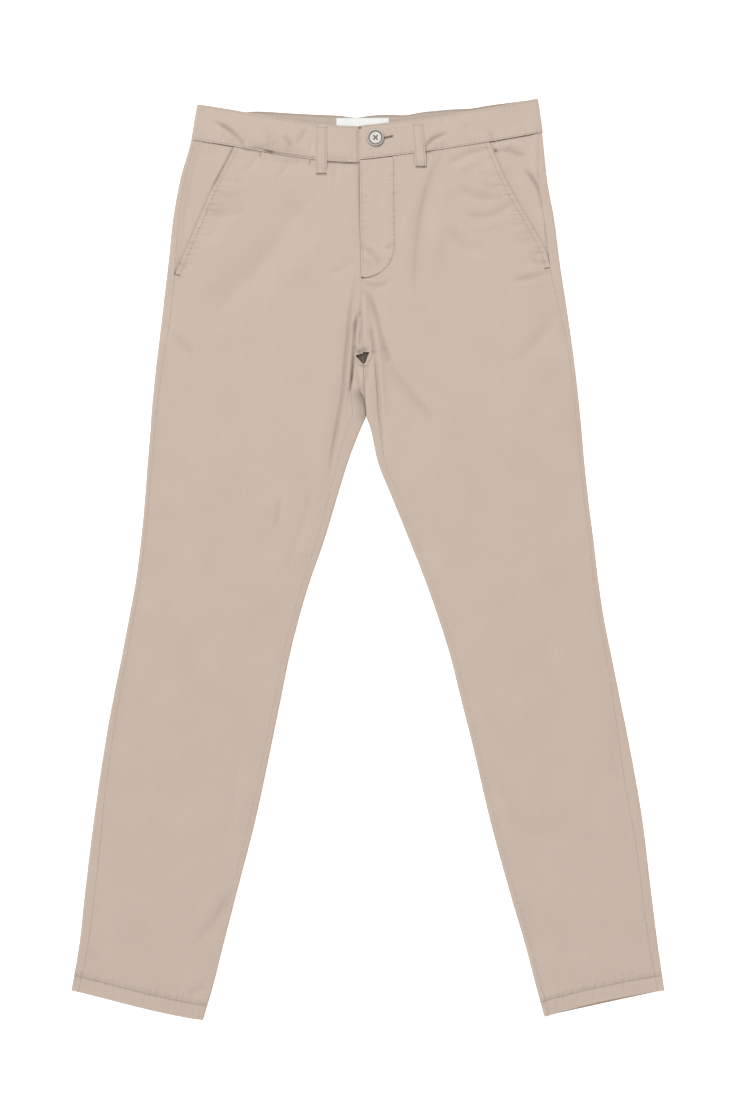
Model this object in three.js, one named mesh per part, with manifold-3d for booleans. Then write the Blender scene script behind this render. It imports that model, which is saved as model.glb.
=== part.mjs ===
// Slim chino trousers laid flat on their back, front upwards, as a tailor would cut and sew them.
// Millimetres. +Z is up, +Y runs to the waist, +X is the wearer's left. The garment lies on z = 0.
import * as THREE from 'three';
import { mergeVertices } from 'three/addons/utils/BufferGeometryUtils.js';
import Module from 'manifold-3d';

const wasm = await Module();
wasm.setup();

// Driving dimensions
const CLOTH = 1.4; // wall of a single cotton twill panel
const BAND_CLOTH = 2.0; // the waistband is two layers and a stiffener
const THIN_CLOTH = 1.0; // pocket facing, fly placket and label
const SEAM_GAP = 0.3; // between two pieces that are sewn together
const LAY_GAP = 0.35; // between two pieces that lie on each other
const EDGE_LOFT = 4.8; // thickness of the folded leg at its outer edge
const CROTCH_LOFT = 3.8; // the same at the crotch, where the cloth is pulled down
const LEG_LOFT = 4.8; // the same at the inner edge further down
const BAND_LOFT = 6.2; // thickness of the folded waistband at its two ends
const BAND_CROWN = 1.5; // how much higher the waistband is in the middle
const BAND_HEIGHT = 43;
const LEFT_WAIST_LIFT = 3.5; // the left waist seam ends this much higher at the centre front
const LOOP_WIDTH = 13.5;
const LOOP_CLOTH = 1.2;
const LOOP_LIFT = 1.6; // the back loops lie under the waistband and lift it off the floor
const FLY_WIDTH = 41.5;
const FLY_CORNER = 42; // height of the curved end of the fly
const FLY_CURVE = 2.5; // 2 would be an ellipse, more is squarer
const FLY_END_Y = 330;
const UNDERLAP = 30; // the right end of the waistband runs on under the left end
const BACK_RISE = 13; // the back waist stands this much higher than the front one
const CROTCH_POINT = { x: -7, y: 236, radius: 10, depth: 5 };
const CROTCH_Y = 238; // the four leg seams meet here
const CURL_START = 236; // a little below, the back panel starts to turn up round the inner thigh
const CURL_END = 225; // and has turned right over here
const APEX_Y = 168; // the two legs part here
const POCKET_END_Y = { right: 336.5, left: 345.5 };
const POCKET_BAG = 14; // how far the facing reaches in behind the pocket mouth
const POCKET_SLACK = 0.6; // and how far it hangs free of the front there
const LEAST_LOFT = 3.7;

// Half-width rows of the whole garment: x of the outer and inner edge of each leg at a height y.
const OUTLINE = [
  { y: -542, rightOuter: -355, rightInner: -194, leftInner: 208.6, leftOuter: 355 },
  { y: -507, rightOuter: -349, rightInner: -183.5, leftInner: 199, leftOuter: 349 },
  { y: -448, rightOuter: -339, rightInner: -168.5, leftInner: 183.5, leftOuter: 340.5 },
  { y: -401, rightOuter: -334, rightInner: -156.5, leftInner: 169.5, leftOuter: 334.5 },
  { y: -306, rightOuter: -322.5, rightInner: -132, leftInner: 143.5, leftOuter: 323 },
  { y: -212, rightOuter: -308.5, rightInner: -112, leftInner: 121.5, leftOuter: 306.5 },
  { y: -165, rightOuter: -300, rightInner: -102.5, leftInner: 109.5, leftOuter: 297 },
  { y: -118, rightOuter: -290.5, rightInner: -93, leftInner: 98, leftOuter: 287.5 },
  { y: -71, rightOuter: -281.5, rightInner: -81.5, leftInner: 83.5, leftOuter: 278 },
  { y: -24, rightOuter: -273, rightInner: -67.5, leftInner: 67, leftOuter: 271 },
  { y: 23, rightOuter: -267, rightInner: -51, leftInner: 48.5, leftOuter: 265.5 },
  { y: 70, rightOuter: -262.5, rightInner: -37, leftInner: 29.5, leftOuter: 259.5 },
  { y: 117, rightOuter: -259, rightInner: -22.5, leftInner: 11, leftOuter: 254.5 },
  { y: 152, rightOuter: -256, rightInner: -9, leftInner: 3.5, leftOuter: 251.5 },
  { y: APEX_Y, rightOuter: -255, rightInner: -2, leftInner: -2, leftOuter: 250 },
  { y: 211, rightOuter: -251, rightInner: -4.5, leftInner: -4.5, leftOuter: 245.5 },
  { y: 258, rightOuter: -245.5, rightInner: -6.5, leftInner: -6.5, leftOuter: 239.5 },
  { y: 305, rightOuter: -240, rightInner: -7.5, leftInner: -7.5, leftOuter: 232.5 },
  { y: 352, rightOuter: -234.5, rightInner: -8.5, leftInner: -8.5, leftOuter: 225.5 },
  { y: 399, rightOuter: -229.5, rightInner: -9.3, leftInner: -9.3, leftOuter: 219.5 },
  { y: 446, rightOuter: -221, rightInner: -9.8, leftInner: -9.8, leftOuter: 211 },
  { y: 493, rightOuter: -208, rightInner: -10, leftInner: -10, leftOuter: 206 },
  { y: 522, rightOuter: -203, rightInner: -10, leftInner: -10, leftOuter: 203 },
];

// Cross-sections of a leg, named by the height of their inner end. The outer end is higher by the drop.
const SECTIONS = [
  { y: -542, rightDrop: 35, leftDrop: 31, rightBow: 2, leftBow: -3, backBow: 0, crown: 1.2 },
  { y: -300, rightDrop: 42, leftDrop: 41, rightBow: 0, leftBow: 0, backBow: 0, crown: 1.5 },
  { y: -50, rightDrop: 45, leftDrop: 44, rightBow: 0, leftBow: 0, backBow: 0, crown: 1.7 },
  { y: 168, rightDrop: 46, leftDrop: 40, rightBow: 0, leftBow: 0, backBow: 0, crown: 1.8 },
  { y: 238, rightDrop: 40, leftDrop: 36, rightBow: 1, leftBow: 1, backBow: 0, crown: 1.7 },
  { y: 350, rightDrop: 33, leftDrop: 36, rightBow: 3, leftBow: 3, backBow: 1, crown: 1.6 },
  { y: 466, rightDrop: 27, leftDrop: 36, rightBow: 4, leftBow: 2.4, backBow: 2.5, crown: 1.4 },
];

// How far the seams lie in from the outline on the upper side, by the height of the seam.
const OUTSEAM = [
  { y: -507, right: 9, left: 8 },
  { y: -442, right: 11, left: 10.5 },
  { y: -360, right: 12, left: 11 },
  { y: -267, right: 9, left: 13.5 },
  { y: -207, right: 8, left: 11 },
  { y: -105, right: 6, left: 6 },
  { y: 46, right: 5, left: 5 },
  { y: 147, right: 6, left: 5 },
  { y: 243, right: 8, left: 5.5 },
  { y: 290, right: 10, left: 8 },
  { y: 345, right: 8.6, left: 12 },
  { y: 440, right: 6, left: 11 },
  { y: 502, right: 4.5, left: 5 },
];
const INSEAM = [
  { y: -542, right: 6, left: 6 },
  { y: 0, right: 7.5, left: 6.5 },
  { y: 60, right: 9, left: 7.5 },
  { y: 117, right: 12, left: 8.5 },
  { y: 143, right: 15, left: 9.5 },
  { y: 168, right: 16, left: 12 },
  { y: 200, right: 9, left: 8 },
  { y: 225, right: 7, left: 7 },
  { y: 232, right: 5.5, left: 5.5 },
  { y: CROTCH_Y, right: SEAM_GAP / 2, left: SEAM_GAP / 2 },
  { y: 600, right: SEAM_GAP / 2, left: SEAM_GAP / 2 },
];
const POCKET = [
  { y: 336, right: 8.8, left: 12 },
  { y: 346, right: 12.8, left: 12 },
  { y: 360, right: 16.8, left: 13.6 },
  { y: 400, right: 29, left: 28 },
  { y: 460, right: 43.5, left: 49.5 },
  { y: 502, right: 53, left: 63 },
];

// Largest folds of the upper side: the line of each, its half-width and its height, negative for a trough.
const FOLDS = [
  {
    part: 'right thigh valley', width: 5, height: -1.6,
    path: [[-16, 323], [-21, 283], [-24.5, 239], [-27.6, 199], [-34, 165], [-41, 128], [-46, 94]],
  },
  {
    part: 'right crotch crease', width: 3, height: -2.2,
    path: [[-11, 290], [-16, 263], [-17.6, 233], [-21, 200]],
  },
  {
    part: 'right crotch ridge', width: 3, height: 1.4,
    path: [[-12.5, 312], [-18, 275], [-21, 235], [-24, 199], [-29, 165], [-35, 128]],
  },
  {
    part: 'left crotch crease', width: 3, height: -2,
    path: [[4, 275], [6, 250], [9.3, 229], [10.8, 202], [12.7, 172], [16, 139], [19.4, 116]],
  },
  {
    part: 'left crotch ridge', width: 4.5, height: 1.2,
    path: [[3, 300], [11, 260], [16, 228], [20, 195], [24, 160]],
  },
  {
    part: 'left thigh valley', width: 6, height: -1.6,
    path: [
      [-5, 318], [6, 303], [12.7, 273], [22.6, 239], [32.8, 216],
      [49.6, 196], [69.6, 175], [90, 149], [110, 133],
    ],
  },
  { part: 'rise bulge', width: 6, height: 1.2, path: [[-5, 322], [-4, 290], [-4, 262]] },
  {
    part: 'right hip valley', width: 15, height: -1.4,
    path: [[-60, 445], [-112, 370], [-145, 330], [-189, 283], [-216, 255]],
  },
  {
    part: 'right hip ridge', width: 14, height: 0.9,
    path: [[-52, 405], [-96, 345], [-130, 303], [-170, 262]],
  },
  {
    part: 'left loop valley', width: 8, height: -1.4,
    path: [[81, 476], [71.5, 441], [63, 400], [58, 364], [56, 337], [55, 300]],
  },
  { part: 'left loop ridge', width: 8, height: 0.8, path: [[92, 455], [82, 420], [75, 380], [71, 340]] },
  { part: 'left hip high fold', width: 6, height: -1.2, path: [[93, 460], [123, 474], [146, 481]] },
  { part: 'left hip upper valley', width: 7, height: -1.1, path: [[106, 440], [130, 426], [154, 424]] },
  { part: 'left hip valley', width: 8, height: -1.2, path: [[98, 388], [120, 367], [144, 371]] },
  { part: 'left hip ridge', width: 7, height: 0.8, path: [[104, 402], [128, 388], [152, 392]] },
  { part: 'left pocket fold', width: 6, height: -1, path: [[170, 327], [190, 333], [211, 338]] },
  { part: 'left thigh arc', width: 9, height: -0.9, path: [[172, 234], [194, 249], [216, 280]] },
  { part: 'right pocket drag', width: 6, height: -0.8, path: [[-184, 418], [-160, 412], [-134, 410]] },
  {
    part: 'left calf valley', width: 10, height: -1.1,
    path: [[140, -236], [167, -278], [187, -322], [243, -330]],
  },
  { part: 'left ankle valley', width: 9, height: -0.9, path: [[180, -396], [201, -450], [212, -472]] },
  { part: 'right ankle valley', width: 10, height: -1.1, path: [[-158, -380], [-176, -420], [-207, -458]] },
  { part: 'right knee valley', width: 8, height: -0.8, path: [[-103, 74], [-107, 32]] },
  { part: 'right band crease', width: 5, height: -1.4, path: [[-184, 516], [-162, 503], [-146, 490]] },
  { part: 'left band crease', width: 5, height: -1.1, path: [[67, 481], [76, 493], [95, 502]] },
];

const clamp = (x, low, high) => Math.min(high, Math.max(low, x));
const mix = (a, b, t) => a + (b - a) * t;

// Smooth step from 0 at a to 1 at b.
function ramp(x, a, b) {
  const t = clamp((x - a) / (b - a), 0, 1);
  return t * t * (3 - 2 * t);
}

// A curve through one column of a table that never overshoots its rows (monotone cubic Hermite).
function column(rows, name) {
  const y = rows.map((row) => row.y);
  const v = rows.map((row) => row[name]);
  const slope = y.slice(1).map((next, i) => (v[i + 1] - v[i]) / (next - y[i]));
  const tangent = y.map((_, i) => {
    if (i === 0) return slope[0];
    if (i === y.length - 1) return slope[i - 1];
    if (slope[i - 1] * slope[i] <= 0) return 0;
    return (2 * slope[i - 1] * slope[i]) / (slope[i - 1] + slope[i]);
  });
  return (at) => {
    let i = 0;
    while (i < y.length - 2 && at > y[i + 1]) i += 1;
    const h = y[i + 1] - y[i];
    const t = clamp((at - y[i]) / h, 0, 1);
    const rise = (1 + 2 * t) * (1 - t) ** 2 * v[i] + t * t * (3 - 2 * t) * v[i + 1];
    return rise + h * t * (1 - t) * ((1 - t) * tangent[i] - t * tangent[i + 1]);
  };
}

// The inner edge of a half: its own below the point where the legs part, shared with the other above.
function innerEdge(name) {
  const leg = column(OUTLINE.filter((row) => row.y <= APEX_Y), name);
  const centre = column(OUTLINE.filter((row) => row.y >= APEX_Y), name);
  return (y) => (y < APEX_Y ? leg(y) : centre(y));
}

// The two halves of the garment, each with its own columns of the tables.
const half = (side, hemLift, waistLift, sag) => ({
  outer: column(OUTLINE, `${side}Outer`),
  inner: innerEdge(`${side}Inner`),
  drop: column(SECTIONS, `${side}Drop`),
  bow: column(SECTIONS, `${side}Bow`),
  outseam: column(OUTSEAM, side),
  inseam: column(INSEAM, side),
  pocket: column(POCKET, side),
  pocketEnd: POCKET_END_Y[side],
  outward: side === 'right' ? -1 : 1,
  hemLift,
  waistLift,
  sag,
});
const HALVES = {
  right: half('right', 0, 0, 2),
  left: half('left', 4, LEFT_WAIST_LIFT, 1),
};
// Share of its bow that a line has at a: 1 at half-way for a sag of 1, or nearer the centre for more.
const bowed = (a, sag) => (a ** sag * (1 - a) * (sag + 1) ** (sag + 1)) / sag ** sag;
const crown = column(SECTIONS, 'crown');
const backBow = column(SECTIONS, 'backBow');

// The lowest point of the cloth over (x, y): the floor, or the back loops near the waist.
const floorLift = (y) => LOOP_LIFT * ramp(y, 405, 450);

function distanceAlong(x, y, path) {
  let best = { distance: Infinity, along: 0 };
  for (let i = 0; i < path.length - 1; i += 1) {
    const [ax, ay] = path[i];
    const [bx, by] = path[i + 1];
    const length = (bx - ax) ** 2 + (by - ay) ** 2;
    const t = clamp(((x - ax) * (bx - ax) + (y - ay) * (by - ay)) / length, 0, 1);
    const distance = Math.hypot(x - mix(ax, bx, t), y - mix(ay, by, t));
    if (distance < best.distance) best = { distance, along: (i + t) / (path.length - 1) };
  }
  return best;
}

// Sum of the folds at (x, y): each is a bell across its line that dies out towards both ends.
function folds(x, y) {
  let height = 0;
  for (const fold of FOLDS) {
    const { distance, along } = distanceAlong(x, y, fold.path);
    const taper = Math.sqrt(Math.sin(Math.PI * clamp(along, 0.03, 0.97)));
    height += fold.height * taper * Math.exp(-((distance / fold.width) ** 2));
  }
  const away = Math.hypot(x - CROTCH_POINT.x, y - CROTCH_POINT.y) / CROTCH_POINT.radius;
  return height - CROTCH_POINT.depth * Math.exp(-away * away);
}

// One cross-section of a half: its two ends on the outline and the line between them.
function section(side, row) {
  const y = row + side.hemLift * ramp(-row, 300, 542);
  const backY = y + BACK_RISE * ramp(row, 300, 466);
  const apart = row >= APEX_Y ? (SEAM_GAP / 2) * side.outward : 0;
  const outerY = y + side.drop(row);
  const from = [side.outer(outerY), outerY];
  const frontY = y + side.waistLift * ramp(row, 380, 466);
  const to = [side.inner(frontY) + apart, frontY];
  const backTo = [side.inner(backY) + apart, backY];
  const width = Math.hypot(to[0] - from[0], to[1] - from[1]);
  const at = (end, bow, sag) => (q) => {
    const a = q / width;
    return [mix(from[0], end[0], a), mix(from[1], end[1], a) - bow * bowed(a, sag)];
  };
  return { row, outerY, width, front: at(to, side.bow(row), side.sag), back: at(backTo, backBow(row), 1) };
}

// Height of the outer face of the upper side, q millimetres in from the outer edge.
function topHeight(cut, q) {
  const [x, y] = cut.front(q);
  const a = clamp(q / cut.width, 0, 1);
  const closed = ramp(-cut.row, -CROTCH_Y, -APEX_Y);
  const innerLoft = mix(CROTCH_LOFT, LEG_LOFT, ramp(Math.abs(cut.row - CROTCH_Y), 10, 110));
  const rise = Math.sin(Math.min(a / 0.35, 1) * (Math.PI / 2));
  const fall = Math.sin(Math.min((1 - a) / 0.3, 1) * (Math.PI / 2));
  const swell = crown(cut.row) * rise * (1 - closed * (1 - fall));
  const loft = mix(EDGE_LOFT, innerLoft, a) + swell + folds(x, y);
  return floorLift(y) + Math.max(loft, LEAST_LOFT);
}

// A closed cloth wall between two grids of points, the outer face and the inner one.
function wall(outer, inner) {
  const rows = outer.length;
  const columns = outer[0].length;
  const points = [...outer.flat(), ...inner.flat()];
  const id = (layer, i, j) => layer * rows * columns + i * columns + j;
  const faces = [];
  const quad = (a, b, c, d) => faces.push(a, b, c, a, c, d);
  for (let i = 0; i < rows - 1; i += 1) {
    for (let j = 0; j < columns - 1; j += 1) {
      quad(id(0, i, j), id(0, i, j + 1), id(0, i + 1, j + 1), id(0, i + 1, j));
      quad(id(1, i, j), id(1, i + 1, j), id(1, i + 1, j + 1), id(1, i, j + 1));
    }
  }
  for (let j = 0; j < columns - 1; j += 1) {
    quad(id(0, 0, j), id(1, 0, j), id(1, 0, j + 1), id(0, 0, j + 1));
    const i = rows - 1;
    quad(id(0, i, j), id(0, i, j + 1), id(1, i, j + 1), id(1, i, j));
  }
  for (let i = 0; i < rows - 1; i += 1) {
    quad(id(0, i, 0), id(0, i + 1, 0), id(1, i + 1, 0), id(1, i, 0));
    const j = columns - 1;
    quad(id(0, i, j), id(1, i, j), id(1, i + 1, j), id(0, i + 1, j));
  }
  return closedGeometry(points, faces);
}

// Turns every face round if the body came out inside out.
function closedGeometry(points, faces) {
  let volume = 0;
  for (let k = 0; k < faces.length; k += 3) {
    const [a, b, c] = [0, 1, 2].map((n) => new THREE.Vector3(...points[faces[k + n]]));
    volume += a.dot(b.cross(c));
  }
  if (volume < 0) faces.reverse();
  const geometry = new THREE.BufferGeometry();
  geometry.setAttribute('position', new THREE.Float32BufferAttribute(points.flat(), 3));
  geometry.setIndex(faces);
  geometry.computeVertexNormals();
  return geometry;
}

function look(name, color, roughness) {
  return new THREE.MeshStandardMaterial({ name, color, roughness, metalness: 0 });
}
const CLOTH_LOOK = look('twill', 0xcbb8aa, 0.92);
const LABEL_LOOK = look('label', 0xf2f3f1, 0.7);
const BUTTON_LOOK = look('button', 0xd8d2c6, 0.35);

const trousers = new THREE.Group();
function add(name, geometry, material = CLOTH_LOOK) {
  const mesh = new THREE.Mesh(geometry, material);
  mesh.name = name;
  trousers.add(mesh);
}

// Heights of the leg sections: close together round the crotch, further apart down the leg.
const SPANS = [
  { from: 466, to: 302, count: 8 },
  { from: 302, to: CROTCH_Y, count: 6 },
  { from: CROTCH_Y, to: 225, count: 3 },
  { from: 225, to: 120, count: 9 },
  { from: 120, to: -60, count: 6 },
  { from: -60, to: -542, count: 12 },
];
// Steps from 0 to 1, closer together towards 1 as the power grows.
const crowded = (count, power) => Array.from({ length: count + 1 }, (_, k) => 1 - (1 - k / count) ** power);
const even = (count) => crowded(count, 1);

const rowsOf = ({ from, to, count }) => even(count - 1).map((t) => mix(from, to, (t * (count - 1)) / count));
const ROWS = [...SPANS.flatMap(rowsOf), SPANS.at(-1).to];

// How far the mouth of the pocket, or else the outseam, lies in from the outer edge.
function frontEdge(side, cut) {
  const seam = side.outseam(cut.outerY);
  return cut.outerY > side.pocketEnd ? Math.max(seam, side.pocket(cut.outerY)) : seam;
}

// The fly runs down the left front from the waist and curves in to the centre line.
function flyReach(y) {
  const down = clamp((FLY_END_Y + FLY_CORNER - y) / FLY_CORNER, 0, 1);
  return FLY_WIDTH * (1 - down ** FLY_CURVE) ** (1 / FLY_CURVE);
}

// A front panel, from the pocket mouth or the outseam to the centre front or the inseam.
function frontPanel(side) {
  const outer = [];
  const inner = [];
  for (const row of ROWS) {
    const cut = section(side, row);
    const start = frontEdge(side, cut) + SEAM_GAP;
    const end = cut.width - (row > CROTCH_Y ? 0 : side.inseam(row) + SEAM_GAP / 2);
    const line = crowded(12, 1.7).map((t) => {
      const q = mix(start, end, t);
      const [x, y] = cut.front(q);
      return [x, y, topHeight(cut, q)];
    });
    outer.push(line);
    inner.push(line.map(([x, y, z]) => [x, y, z - CLOTH]));
  }
  return wall(outer, inner);
}

// The two faces of a bent cloth at one place of a ring: its arc, and the wall towards the centre.
function bend(radius, loft, angle, cloth) {
  const height = loft / 2;
  return {
    reach: radius * Math.sin(angle),
    z: height * (1 - Math.cos(angle)),
    innerReach: (radius - cloth) * Math.sin(angle),
    innerZ: height - (height - cloth) * Math.cos(angle),
  };
}

// A back panel: it starts at the outseam on the upper side, turns under at the outer edge, lies flat,
// and ends at the centre back, or below the crotch turns up again to the inseam.
function backPanel(side) {
  const outer = [];
  const inner = [];
  const radius = 2.6;
  for (const row of ROWS) {
    const cut = section(side, row);
    const faces = [[], []];
    const put = (place, q, z, place2, q2, z2) => {
      const [x, y] = place(q);
      const [x2, y2] = place2(q2);
      faces[0].push([x, y, z + floorLift(y)]);
      faces[1].push([x2, y2, z2 + floorLift(y)]);
    };
    const over = (q) => topHeight(cut, q) - floorLift(cut.front(q)[1]);
    for (const t of [0, 0.5]) {
      const q = mix(side.outseam(cut.outerY), radius, t);
      put(cut.front, q, over(q), cut.front, q, over(q) - CLOTH);
    }
    for (let k = 0; k <= 4; k += 1) {
      const arc = bend(radius, over(radius), Math.PI * (1 - k / 4), CLOTH);
      const place = k < 2 ? cut.front : cut.back;
      put(place, radius - arc.reach, arc.z, place, radius - arc.innerReach, arc.innerZ);
    }
    // The inner end: a strip that lies flat above the crotch and curls up below it.
    const turn = clamp((CURL_START - row) / (CURL_START - CURL_END), 0, 1);
    const loft = turn < 1 ? CROTCH_LOFT : over(cut.width - radius);
    const run = turn < 1 ? 0.8 : side.inseam(row) - radius;
    const angle = Math.PI * turn;
    const share = Math.max(turn, 0.02);
    const bent = bend(radius / share, loft / share, angle, CLOTH);
    const strip = Math.PI * radius + run;
    const used = turn === 0 ? strip : bent.reach + run * Math.cos(angle);
    const from = cut.width - (turn > 0.5 ? radius / share : used);
    for (let k = 1; k <= 7; k += 1) {
      const q = mix(radius, from, k / 7);
      put(cut.back, q, 0, cut.back, q, CLOTH);
    }
    for (let k = 1; k <= 4; k += 1) {
      if (turn === 0) {
        const q = from + (strip - run) * (k / 4);
        put(cut.back, q, 0, cut.back, q, CLOTH);
        continue;
      }
      const arc = bend(radius / share, loft / share, angle * (k / 4), CLOTH);
      put(cut.back, from + arc.reach, arc.z, cut.back, from + arc.innerReach, arc.innerZ);
    }
    for (let k = 1; k <= 2; k += 1) {
      const length = run * (k / 2);
      if (turn === 1) {
        const q = cut.width - radius - length;
        put(cut.front, q, over(q), cut.front, q, over(q) - CLOTH);
        continue;
      }
      const [sin, cos] = [Math.sin(angle), Math.cos(angle)];
      const q = turn === 0 ? cut.width - run + length : from + bent.reach + length * cos;
      const z = turn === 0 ? 0 : bent.z + length * sin;
      put(cut.back, q, z, cut.back, q - CLOTH * sin, z + CLOTH * cos);
    }
    outer.push(faces[0]);
    inner.push(faces[1]);
  }
  return wall(outer, inner);
}

// The slanted pocket's facing shows between the pocket mouth and the outseam and runs on behind the front.
function pocketFacing(side) {
  const outer = [];
  const inner = [];
  const count = 9;
  for (let i = 0; i <= count; i += 1) {
    const cut = section(side, mix(465.5, side.pocketEnd - 33, i / count));
    const seam = side.outseam(cut.outerY);
    const mouth = frontEdge(side, cut);
    const buried = ramp(mouth - seam, 14, 6);
    const line = even(6).map((t) => {
      const q = mix(seam + SEAM_GAP, mouth + POCKET_BAG, t);
      const [x, y] = cut.front(q);
      const tucked = (CLOTH + LAY_GAP) * Math.max(buried, ramp(q - seam, 0, 10));
      const slack = POCKET_SLACK * ramp(q - mouth, -3, 6);
      const onBack = floorLift(y) + CLOTH + LAY_GAP + THIN_CLOTH;
      return [x, y, Math.max(topHeight(cut, q) - tucked - slack, onBack)];
    });
    outer.push(line);
    inner.push(line.map(([x, y, z]) => [x, y, z - THIN_CLOTH]));
  }
  return wall(outer, inner);
}

// The waistband's edges at a height v, from 0 at the seam to 1 at the top.
const BAND_ENDS = {
  right: { from: [[-208, 493], [-201, 535]], centre: [466, 509], bow: [4, 4] },
  left: { from: [[206, 502], [200, 542]], centre: [466 + LEFT_WAIST_LIFT, 509.5], bow: [2.4, 3] },
};
const CENTRE_X = -10;
const BACK_CENTRE = [479, 479 + BAND_HEIGHT];
function bandCut(name, v) {
  const ends = BAND_ENDS[name];
  const from = [0, 1].map((n) => mix(ends.from[0][n], ends.from[1][n], v));
  const width = Math.abs(CENTRE_X - from[0]);
  const place = (centre, bow, sag) => (q) => {
    const a = q / width;
    return [mix(from[0], CENTRE_X, a), mix(from[1], mix(...centre, v), a) - bow * bowed(a, sag)];
  };
  const own = place(ends.centre, mix(...ends.bow, v), HALVES[name].sag);
  // Past the centre front the right end keeps to the line of the left one.
  const other = () => bandCut('left', v);
  const past = (q) => name === 'right' && q >= width;
  const front = (q) => (past(q) ? other().front(other().width - (q - width)) : own(q));
  return { width, front, back: place(BACK_CENTRE, 2.5, 1) };
}
function bandHeight(cut, q) {
  const [x, y] = cut.front(q);
  const rise = Math.sin(Math.min(q / cut.width / 0.35, 1) * (Math.PI / 2));
  return LOOP_LIFT + BAND_LOFT + BAND_CROWN * rise + (q < cut.width ? folds(x, y) : 0);
}

// One half of the waistband: from the centre front round the side to the centre back.
function waistband(name) {
  const outer = [];
  const inner = [];
  const radius = 3.1;
  const right = name === 'right';
  for (let i = 0; i <= 4; i += 1) {
    const cut = bandCut(name, mix(SEAM_GAP / BAND_HEIGHT, 1, i / 4));
    const line = [];
    const under = [];
    // The right end dips under the left one, and runs on as the button stand.
    const tuck = BAND_CLOTH + LAY_GAP;
    const stand = right ? [UNDERLAP, 14, 0, -1.5, -7.5, -13] : [0, -6, -13];
    for (const past of stand) {
      const q = cut.width + past - (right ? 0 : SEAM_GAP);
      const down = right ? tuck * ramp(past, -7.5, -1.5) : 0;
      const [x, y] = cut.front(q);
      const z = bandHeight(cut, q) - down;
      line.push([x, y, z]);
      under.push([x, y, z - (right && past > -7 ? 1.8 : BAND_CLOTH)]);
    }
    for (let k = 1; k <= 11; k += 1) {
      const q = mix(cut.width - 13, radius, k / 12);
      const [x, y] = cut.front(q);
      line.push([x, y, bandHeight(cut, q)]);
      under.push([x, y, bandHeight(cut, q) - BAND_CLOTH]);
    }
    const loft = bandHeight(cut, radius) - LOOP_LIFT;
    for (let k = 0; k <= 6; k += 1) {
      const arc = bend(radius, loft, Math.PI * (1 - k / 6), BAND_CLOTH);
      const place = k < 3 ? cut.front : cut.back;
      line.push([...place(radius - arc.reach), arc.z + LOOP_LIFT]);
      under.push([...place(radius - arc.innerReach), arc.innerZ + LOOP_LIFT]);
    }
    for (let k = 1; k <= 9; k += 1) {
      const [x, y] = cut.back(mix(radius, cut.width - SEAM_GAP / 2, k / 9));
      line.push([x, y, LOOP_LIFT]);
      under.push([x, y, LOOP_LIFT + BAND_CLOTH]);
    }
    outer.push(line);
    inner.push(under);
  }
  return wall(outer, inner);
}

// The fly placket lies on the left front.
function flyPlacket() {
  const side = HALVES.left;
  const outer = [];
  const inner = [];
  const count = 12;
  for (let i = 0; i <= count; i += 1) {
    const row = mix(465, FLY_END_Y + 1, i / count);
    const cut = section(side, row);
    const reach = flyReach(row) + 0.5;
    const line = even(6).map((t) => {
      const q = cut.width - SEAM_GAP - t * reach;
      const [x, y] = cut.front(q);
      return [x, y, topHeight(cut, q) + LAY_GAP];
    });
    inner.push(line);
    outer.push(line.map(([x, y, z]) => [x, y, z + THIN_CLOTH]));
  }
  return wall(outer, inner);
}

// A belt loop on the front: a strip that runs over the waistband and down onto the panel.
function frontLoop(name, top, bottom) {
  const side = HALVES[name];
  const outer = [];
  const inner = [];
  const count = 10;
  for (let i = 0; i <= count; i += 1) {
    const [x, y] = [0, 1].map((n) => mix(top[n], bottom[n], i / count));
    const line = [-0.5, 0, 0.5].map((t) => {
      const place = x + t * LOOP_WIDTH;
      const q = Math.abs(side.outer(y) - place);
      const band = bandHeight(bandCut(name, 0.5), q);
      const panel = topHeight(section(side, Math.min(y, 466)), q);
      return [place, y, mix(panel, band, ramp(y, 458, 467)) + LAY_GAP + 0.25];
    });
    inner.push(line);
    outer.push(line.map(([px, py, z]) => [px, py, z + LOOP_CLOTH]));
  }
  return wall(outer, inner);
}

// A flat strip of cloth between two heights, used for the back loops and the label.
function strip(x, bottom, top, width, z, cloth) {
  const rows = even(3).map((t) => mix(bottom, top, t));
  const line = (y, height) => even(2).map((t) => [x + (t - 0.5) * width, y, height]);
  return wall(rows.map((y) => line(y, z + cloth)), rows.map((y) => line(y, z)));
}

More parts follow.
